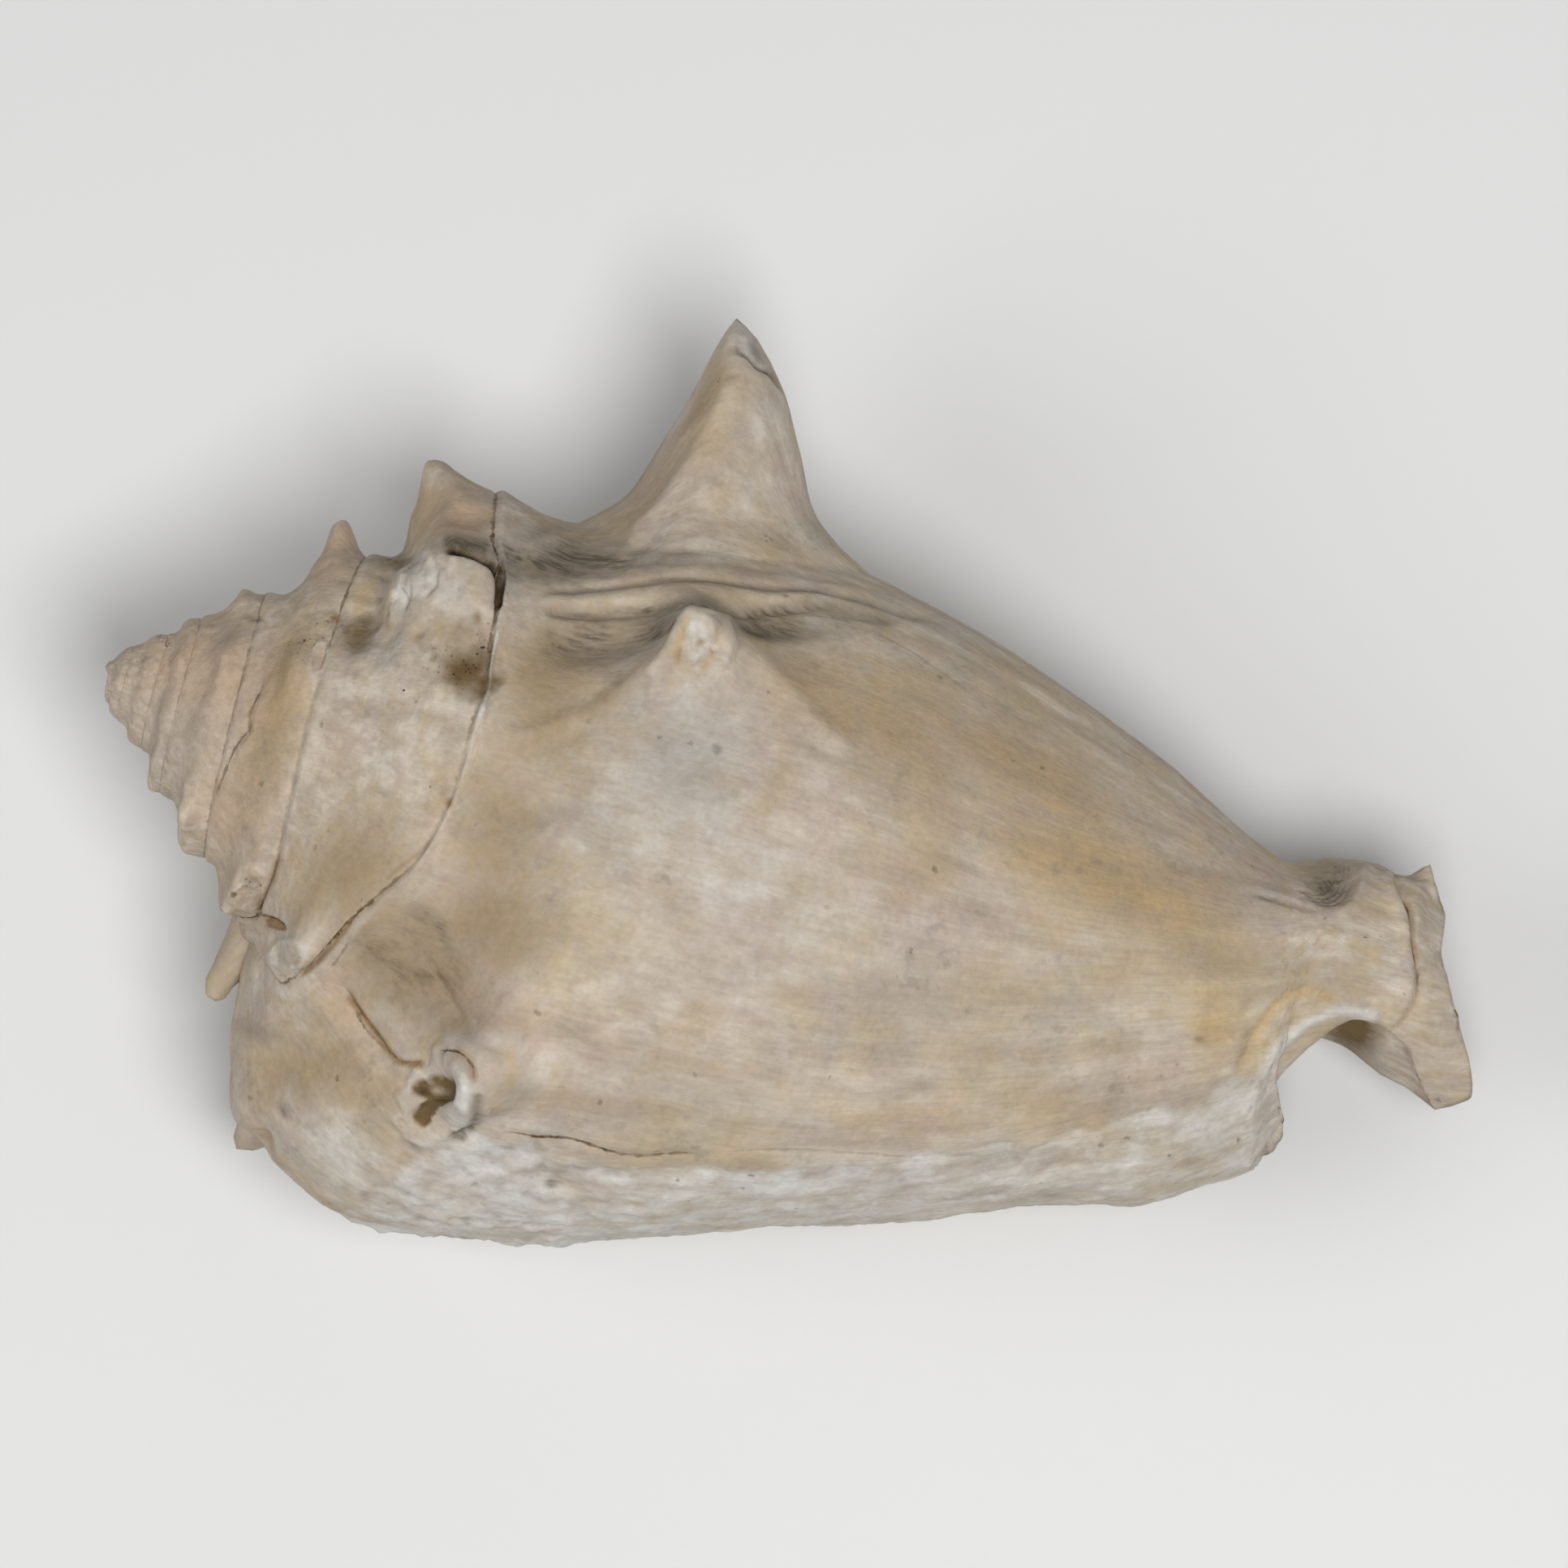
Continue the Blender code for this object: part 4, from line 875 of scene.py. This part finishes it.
patch(128.5, 2, 3.5, 9, -15, tan=0.3, ash=0.3)
patch(55, 28.5, 8, 2.4, -6, tan=0.35, grey=0.05)
patch(120, 12, 1, 1.6, 40, ochre=0.5)
patch(9, 2, 6.5, 8, tan=0.3, peach=0.8)
patch(17.8, 16, 2.4, 4, peach=0.8)
patch(27, 23.4, 4, 2.6, peach=0.7)
patch(14.5, -8, 5, 6, peach=0.5)
patch(30, -23, 4, 2, -40, rough=0.3, peach=0.6)
patch(45, -20, 7, 3, -10, rough=0.3, peach=0.5)
patch(8, -3, 5, 4, ash=0.5)
patch(10.5, 6.8, 2.2, 1.8, rough=0.3, grey=0.3)
patch(16.5, 0, 2.5, 12, tan=0.95)
patch(16, 5, 1.2, 3, ochre=0.6, grey=0.2)
patch(17.8, 16.5, 1.8, 3, ochre=0.2)
patch(21.2, 13.6, 1.3, 2.2, ochre=0.8)
patch(27, 22.8, 3.4, 3, tan=0.6, ochre=0.3)
patch(25, 26.2, 1.6, 0.8, chalk=0.4)
# Painted shade, partly brown stain, in the valley to the right of the older knob
patch(23.4, 17.6, 2.4, 1, 15, grey=0.35, stain=0.6)
patch(27, -11, 4.5, 6, -25, tan=0.85, grey=0.22)
patch(30, -30, 7, 6, tan=0.75)
patch(22.8, -27.8, 2.4, 1, rough=0.3, grey=0.45)
patch(28, -31.5, 3, 1, -40, rough=0.3, grey=0.25)
patch(47.5, -26.5, 4, 1.4, 8, grey=0.3)
patch(18.6, -22, 1.8, 5, tan=0.35, ash=0.3, grey=0.15)
# A faint grey painted shadow along the finger's right edge
patch(20.3, -20.5, 0.5, 3, 8, grey=0.2)
patch(34.1, -2.6, 0.4, 0.5, rust=0.9)
draw([(33.8, -5.6), (33, -7.4), (31.6, -9.4), (30.2, -11.6)], 0.3, 1.5, rust=0.4)

# Where dark specks lodged in the surface: along, up, half sizes, lean in degrees, strength
SPECKS = [
    (17.6, 8.6, 2.4, 1, 48, 1), (19.2, 10.2, 0.9, 0.8, 0, 1), (27.7, 6, 1.3, 0.7, -10, 1),
    (29.8, 5.8, 0.7, 0.3, 0, 0.8), (32.2, -1.4, 1.3, 0.4, 0, 0.7), (33.3, 11.5, 0.9, 3, 8, 0.75),
    (4.8, 4.6, 1, 0.6, -30, 0.8), (3.2, 1.8, 0.8, 0.8, 30, 0.6), (31, 9.5, 3.4, 2.2, -14, 0.55),
    (18.8, -14.8, 1.2, 1.2, 0, 0.6), (28.9, -14.2, 1, 0.5, 55, 0.9), (12.2, 9, 1, 0.5, 0, 0.7),
    (23.8, 17.4, 1.5, 0.5, 20, 0.5), (38.8, 11.8, 0.5, 0.3, 10, 1),
    (44, 2.4, 0.4, 0.35, 0, 1), (71.6, 6.4, 0.4, 0.3, 0, 0.9), (75.2, -0.6, 0.4, 0.4, 0, 0.9),
    (55.6, 29, 0.5, 0.4, 0, 0.8), (54.3, 24.6, 0.5, 0.4, 0, 0.8), (39.6, 14.4, 1, 0.5, 0, 0.6),
    (47.2, 41.8, 0.5, 0.8, 70, 0.7), (113.8, 10.4, 0.9, 0.5, 0, 0.6), (120.6, 9, 0.4, 0.3, 0, 0.8),
]
for at_along, at_up, half_long, half_high, lean, strength in SPECKS:
    patch(at_along, at_up, half_long, half_high, lean, specks=strength)

# The shell is shaped by its relief, and by a few shifts of its outline: an axis, how far, the place
# along the other axis where it is most and how wide it is there, and from where to where it fades in
OUTLINE_SHIFTS = [
    (1, -1.2, 0, 124.2, 3.2, 1.0, -1.5), (0, -0.75, 1, 9.5, 3.2, 121.0, 125.0),
    (1, 0.7, 0, 122.6, 0.9, 11.0, 15.0), (0, 0.45, 1, 40.5, 6.0, 20.0, 21.0),
]
moved = coil + normals * relief[:, None]
for axis, shift, other, middle, half_width, fade_from, fade_to in OUTLINE_SHIFTS:
    most = np.exp(-(((coil[:, other] - middle) / half_width) ** 2))
    moved[:, axis] += shift * most * soft_step((coil[:, axis] - fade_from) / (fade_to - fade_from))
mesh.vertices.foreach_set("co", (moved * MM).ravel())
kept_fields = {name: np.clip(values, 0.0, 1.0) for name, values in tones.items()}
for name, (away, near) in crack_fields.items():
    kept_fields[name + "_away"] = np.clip(away, -CRACK_REACH, CRACK_REACH)
    kept_fields[name + "_near"] = near
for name, values in kept_fields.items():
    mesh.attributes.new(name, "FLOAT", "POINT").data.foreach_set("value", values.astype(np.float32))
mesh.update()

# The shell lies on its belly and on the edge of its lip, turned as the solid is, and worn flat where
# it would stand lower than the floor
REST_ROLL = math.radians(7.4)
REST_PITCH = math.radians(7.6)
APEX_AT_REST = (-65.79, -2.78, 31.50)
to_rest = Matrix.Translation(Vector(APEX_AT_REST) * MM)
to_rest = to_rest @ Matrix.Rotation(REST_PITCH, 4, "Y") @ Matrix.Rotation(REST_ROLL, 4, "X")
mesh.transform(to_rest)
mesh.vertices.foreach_get("co", flat)
placed = flat.reshape(-1, 3)
placed[:, 2] = np.maximum(placed[:, 2], 0.0)
mesh.vertices.foreach_set("co", placed.ravel())
mesh.update()

# The skin is thinned to under 200,000 triangles, most where it is plain, and least where the picture
# shows cracks, dirt, painted shade or white places
MOST_TRIANGLES = 192000
PLAIN_FACTOR = 0.002
PLAIN_STEPS = 20
SHOWN_SHARE = 0.25
DETAIL_SHARE = 0.75
mesh.calc_loop_triangles()
detail = np.clip(sum(tones[name] for name in ("chalk", "grey", "rust", "stain", "dark", "specks")), 0.0, 1.0)
plainness = np.clip(1.0 - SHOWN_SHARE * faces_back - DETAIL_SHARE * detail, 0.0, 1.0)
plain_step = np.round(plainness * PLAIN_STEPS).astype(int)
plain = shell.vertex_groups.new(name="plain")
for step in range(1, PLAIN_STEPS + 1):
    plain.add(np.flatnonzero(plain_step == step).tolist(), step / PLAIN_STEPS, "REPLACE")
thin = shell.modifiers.new("thin", "DECIMATE")
thin.ratio = MOST_TRIANGLES / len(mesh.loop_triangles)
thin.vertex_group = "plain"
thin.vertex_group_factor = PLAIN_FACTOR
bpy.context.view_layer.objects.active = shell
bpy.ops.object.select_all(action="DESELECT")
shell.select_set(True)
bpy.ops.object.modifier_apply(modifier="thin")
bpy.ops.object.shade_smooth()

# The shell's finish: chalky, matt, warm beige, drawn out in streaks along the old lips, with ochre
# and grey patches, white worn places, brown earth and painted shadow in the crevices, and small pits
BEIGE = (0.51, 0.42, 0.325)
CREAM = (0.62, 0.55, 0.455)
ROSE = (0.50, 0.385, 0.33)
STRAW = (0.52, 0.41, 0.26)
TAN = (0.41, 0.295, 0.165)
OCHRE = (0.56, 0.40, 0.20)
PEACH = (0.53, 0.375, 0.27)
ASH = (0.425, 0.39, 0.345)
CHALK = (0.66, 0.64, 0.60)
GREY = (0.105, 0.085, 0.057)
RUST = (0.27, 0.155, 0.058)
# Earth brown, also used as painted shadow in the crevices, the valleys and the canal
EARTH_AND_SHADE = (0.17, 0.112, 0.045)
CRACK = (0.11, 0.062, 0.026)
BLACK = (0.012, 0.010, 0.008)
material = bpy.data.materials.new("worn_shell")
material.use_nodes = True
nodes = material.node_tree.nodes
links = material.node_tree.links
surface = nodes["Principled BSDF"]
surface.inputs["Specular IOR Level"].default_value = 0.25


def node(kind, **settings):
    made = nodes.new(kind)
    for name, value in settings.items():
        setattr(made, name, value)
    return made


def feed(socket, value):
    """A socket's own value where it is a number or a colour, and a link to it otherwise."""
    if isinstance(value, (int, float)):
        socket.default_value = value
    elif isinstance(value, tuple):
        socket.default_value = (*value, 1.0)
    else:
        links.new(value, socket)


def noise_of(vector, stretch, scale, detail, roughness, start):
    placing = node("ShaderNodeMapping")
    placing.inputs["Location"].default_value = start
    placing.inputs["Scale"].default_value = stretch
    links.new(vector, placing.inputs["Vector"])
    made = node("ShaderNodeTexNoise")
    for name, value in (("Scale", scale), ("Detail", detail), ("Roughness", roughness)):
        made.inputs[name].default_value = value
    links.new(placing.outputs[0], made.inputs["Vector"])
    return made.outputs["Fac"]


def cells_of(scale):
    made = node("ShaderNodeTexVoronoi", feature="F1")
    made.inputs["Scale"].default_value = scale
    links.new(place, made.inputs["Vector"])
    return made.outputs["Distance"]


def span(value, low, high, to_low=0.0, to_high=1.0):
    """The value's reach from low to high drawn out to another one, and cut off past its ends."""
    made = node("ShaderNodeMapRange")
    for name, number in zip(("From Min", "From Max", "To Min", "To Max"), (low, high, to_low, to_high)):
        made.inputs[name].default_value = number
    links.new(value, made.inputs["Value"])
    return made.outputs["Result"]


def maths(kind, *values):
    made = node("ShaderNodeMath", operation=kind)
    for socket, value in zip(made.inputs, values):
        feed(socket, value)
    return made.outputs[0]


def times(value, *others):
    for other in others:
        value = maths("MULTIPLY", value, other)
    return value


def mixed(under, over, share, blend="MIX"):
    """One colour laid over another: sockets 0, 6 and 7 are the share and the two colours."""
    made = node("ShaderNodeMix", data_type="RGBA", blend_type=blend)
    for number, value in ((0, share), (6, under), (7, over)):
        feed(made.inputs[number], value)
    return made.outputs[2]


def kept_value(name):
    return node("ShaderNodeAttribute", attribute_name=name).outputs["Fac"]


# Patterns: cells per metre, detail, roughness and where the noise is read
place = node("ShaderNodeTexCoord").outputs["Object"]
PATTERNS = {
    "clouds": (45, 4, 0.6, (0, 0, 0)), "rosy clouds": (70, 3, 0.55, (9, 0, 0)),
    "warm": (85, 3, 0.6, (1, 6, 0)), "cool": (120, 4, 0.65, (3, 2, 8)),
    "mottle": (260, 4, 0.65, (2, 0, 0)), "freckles": (520, 3, 0.6, (6, 6, 0)),
    "grit": (1500, 3, 0.6, (5, 0, 0)), "uneven": (1100, 2, 0.6, (4, 0, 0)),
    "broken": (350, 3, 0.65, (8, 0, 0)), "flecked": (900, 2, 0.5, (7, 0, 0)),
    "torn": (5200, 2, 0.6, (2, 7, 0)),
}
pattern = {name: noise_of(place, (1, 1, 1), *settings) for name, settings in PATTERNS.items()}

# Patterns drawn out along the old lips: cells per turn and per line, and then the same
growth_map = node("ShaderNodeUVMap", uv_map="growth").outputs["UV"]
STREAKED = {
    "streaks": ((60, 0.9, 1), 1, 4, 0.6, (0, 0, 0)), "fine streaks": ((420, 2.6, 1), 1, 3, 0.6, (3, 0, 0)),
    "yellow bands": ((34, 1.6, 1), 1, 3, 0.6, (7, 2, 0)),
    "rosy bands": ((34, 1.6, 1), 1.3, 3, 0.6, (1, 9, 0)),
}
pattern.update({name: noise_of(growth_map, *settings) for name, settings in STREAKED.items()})

# Tints that come with a pattern: from where to where in it they set in, and how strong they get
TINTS = [
    (CREAM, "streaks", 0.40, 0.60, 1.0), (STRAW, "yellow bands", 0.50, 0.64, 0.75),
    (ROSE, "rosy bands", 0.52, 0.66, 0.6), (ROSE, "rosy clouds", 0.50, 0.72, 0.6),
    (TAN, "clouds", 0.50, 0.74, 0.45), (STRAW, "warm", 0.48, 0.66, 0.7), (ASH, "cool", 0.50, 0.68, 0.45),
]
colour = BEIGE
for tint, name, low, high, strength in TINTS:
    colour = mixed(colour, tint, times(span(pattern[name], low, high), strength))

# The patches kept on the skin, with their edges torn by the mottling and the streaks
TORN_MOST = 0.5
torn_edges = span(pattern["mottle"], 0.3, 0.7, -0.4, 0.4)
torn_edges = maths("ADD", torn_edges, span(pattern["streaks"], 0.3, 0.7, -0.35, 0.35))


def torn_share(name, low=0.05, high=0.95, torn_by=1.0):
    value = kept_value(name)
    tear = times(torn_edges, times(maths("MINIMUM", value, TORN_MOST), torn_by))
    return span(maths("ADD", value, tear), low, high)


# Tan, ochre, peach and ash stains; the tan is also painted shade on the long spine's left flank
STAINS_AND_SHADE = [(TAN, "tan", 0.95), (OCHRE, "ochre", 0.75), (PEACH, "peach", 0.7), (ASH, "ash", 0.85)]
for tint, name, strength in [*STAINS_AND_SHADE, (CHALK, "chalk", 0.9)]:
    colour = mixed(colour, tint, times(torn_share(name), strength))
streaked = times(
    span(pattern["fine streaks"], 0.38, 0.62, 0.62, 1.15), span(pattern["streaks"], 0.36, 0.62, 0.75, 1.1)
)
# Grey: dust, and painted shade in the hollows by the broken knob and beside the rim at the lip
colour = mixed(colour, GREY, maths("MINIMUM", times(torn_share("grey"), streaked), 0.95))
# Rust, earth and black: dirt, and painted shadow in the crevices, the valleys and the canal
SOILS_AND_SHADOWS = [(RUST, "rust", 0.1, 0.9), (EARTH_AND_SHADE, "stain", 0.25, 0.85), (BLACK, "dark", 0.3, 0.62)]
for tint, name, low, high in SOILS_AND_SHADOWS:
    colour = mixed(colour, tint, torn_share(name, low, high, 0.8))

# Cracks, drawn crisp from the distances kept on the skin: half width in millimetres
CRACK_WIDTHS = {"seam": 0.17, "crack": 0.15, "crease": 0.12}
uneven = span(pattern["uneven"], 0.3, 0.7, -0.10, 0.10)
broken = span(pattern["broken"], 0.36, 0.58, 0.35, 1.0)
for name, half_width in CRACK_WIDTHS.items():
    away = maths("ADD", maths("ABSOLUTE", kept_value(name + "_away")), uneven)
    core = span(away, half_width * 0.4, half_width, 1.0, 0.0)
    colour = mixed(colour, CRACK, times(core, broken, span(kept_value(name + "_near"), 0.1, 1.0)))

# Dark flecks where specks lodged, grey freckles, and small pits all over
torn = span(pattern["torn"], 0.3, 0.7, -0.2, 0.2)
fleck = span(maths("ADD", cells_of(2300.0), torn), 0.20, 0.34, 1.0, 0.0)
fleck = times(fleck, span(pattern["flecked"], 0.46, 0.56), span(kept_value("specks"), 0.12, 0.6))
colour = mixed(colour, BLACK, fleck)
freckled = times(span(pattern["freckles"], 0.56, 0.68), span(pattern["cool"], 0.45, 0.60), 0.22)
colour = mixed(colour, GREY, freckled)
pit_edge = maths("ADD", cells_of(330.0), span(pattern["grit"], 0.3, 0.7, -0.08, 0.08))
pits = times(span(pit_edge, 0.03, 0.09, 1.0, 0.0), span(pattern["clouds"], 0.50, 0.58))
colour = mixed(colour, EARTH_AND_SHADE, times(pits, 0.5))

# Light and shade within the colour: pattern, reach of it, darkest and lightest
SHADES = [
    ("fine streaks", 0.30, 0.70, 0.92, 1.05), ("streaks", 0.35, 0.65, 0.93, 1.05),
    ("mottle", 0.30, 0.70, 0.88, 1.09), ("grit", 0.3, 0.7, 0.92, 1.05),
]
shade = times(*(span(pattern[name], *reach) for name, *reach in SHADES))
feed(surface.inputs["Base Color"], mixed(colour, shade, 1.0, "MULTIPLY"))

# A bump of a few tenths of a millimetre, and a finish that is rougher where the stone is pale
BUMP_STRENGTH = 0.8
BUMP_DISTANCE = 0.0003
height = times(pits, -0.25)
for name, share in (("fine streaks", 0.22), ("mottle", 0.6), ("grit", 0.30)):
    height = maths("ADD", height, times(pattern[name], share))
bump = node("ShaderNodeBump")
bump.inputs["Strength"].default_value = BUMP_STRENGTH
bump.inputs["Distance"].default_value = BUMP_DISTANCE
feed(bump.inputs["Height"], height)
feed(surface.inputs["Normal"], bump.outputs["Normal"])
feed(surface.inputs["Roughness"], span(pattern["mottle"], 0.2, 0.8, 0.62, 0.86))

mesh = shell.data
mesh.materials.clear()
mesh.materials.append(material)
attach(shell, "root")
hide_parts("shell")

# A plain pale floor under the shell, matt and large enough to fill every view. It is no part of the
# shell itself
FLOOR_SIDE = 6.0
bpy.ops.object.select_all(action="DESELECT")
bpy.ops.mesh.primitive_plane_add(size=FLOOR_SIDE, location=(0.0, 0.0, 0.0))
floor = bpy.context.active_object
floor.name = "floor"
floor_finish = bpy.data.materials.new("pale_floor")
floor_finish.use_nodes = True
floor_surface = floor_finish.node_tree.nodes["Principled BSDF"]
floor_surface.inputs["Base Color"].default_value = (0.80, 0.80, 0.79, 1.0)
floor_surface.inputs["Roughness"].default_value = 0.9
floor.data.materials.append(floor_finish)

# The camera looks at the shell's back along the same line as the picture, with the coil axis
# sloping down to the right
PICTURE_WIDTH = 0.1449
PICTURE_CENTRE = (0.06345, 0.0076, 0.0)
PICTURE_SLOPE = math.radians(16.0)
LENS = 300.0
SENSOR = 36.0
camera = bpy.data.objects.new("camera", bpy.data.cameras.new("camera"))
bpy.context.scene.collection.objects.link(camera)
camera.data.lens = LENS
camera.data.sensor_width = SENSOR
camera.data.clip_start = 0.01
towards = to_rest @ Matrix.Translation(Vector(PICTURE_CENTRE)) @ Matrix.Rotation(PICTURE_SLOPE, 4, "Z")
camera.matrix_world = towards @ Matrix.Translation((0.0, 0.0, PICTURE_WIDTH * LENS / SENSOR))
bpy.context.scene.camera = camera

# Soft studio light from three round lamps: a wide key low on the right of the picture, a fill on its
# left and a weak one above, in a pale room. Each is a name, a place, a size and a power
LIGHTS = [
    ("key", (0.10, -0.11, 0.74), 0.30, 3.7),
    ("fill", (-0.60, -0.05, 0.55), 0.60, 1.8),
    ("top", (0.10, 0.60, 0.50), 0.60, 0.35),
]
for name, spot_at, size, power in LIGHTS:
    light = bpy.data.lights.new(name, "AREA")
    light.shape = "DISK"
    light.size = size
    light.energy = power
    lamp = bpy.data.objects.new(name, light)
    bpy.context.scene.collection.objects.link(lamp)
    at = towards @ Vector(spot_at)
    aim = towards @ Vector((0.0, 0.0, 0.0))
    lamp.matrix_world = Matrix.Translation(at) @ (at - aim).to_track_quat("Z", "Y").to_matrix().to_4x4()
world = bpy.data.worlds.new("room")
bpy.context.scene.world = world
world.use_nodes = True
world.node_tree.nodes["Background"].inputs["Color"].default_value = (0.95, 0.97, 1.0, 1.0)
world.node_tree.nodes["Background"].inputs["Strength"].default_value = 0.20
bpy.context.scene.view_settings.view_transform = "Standard"
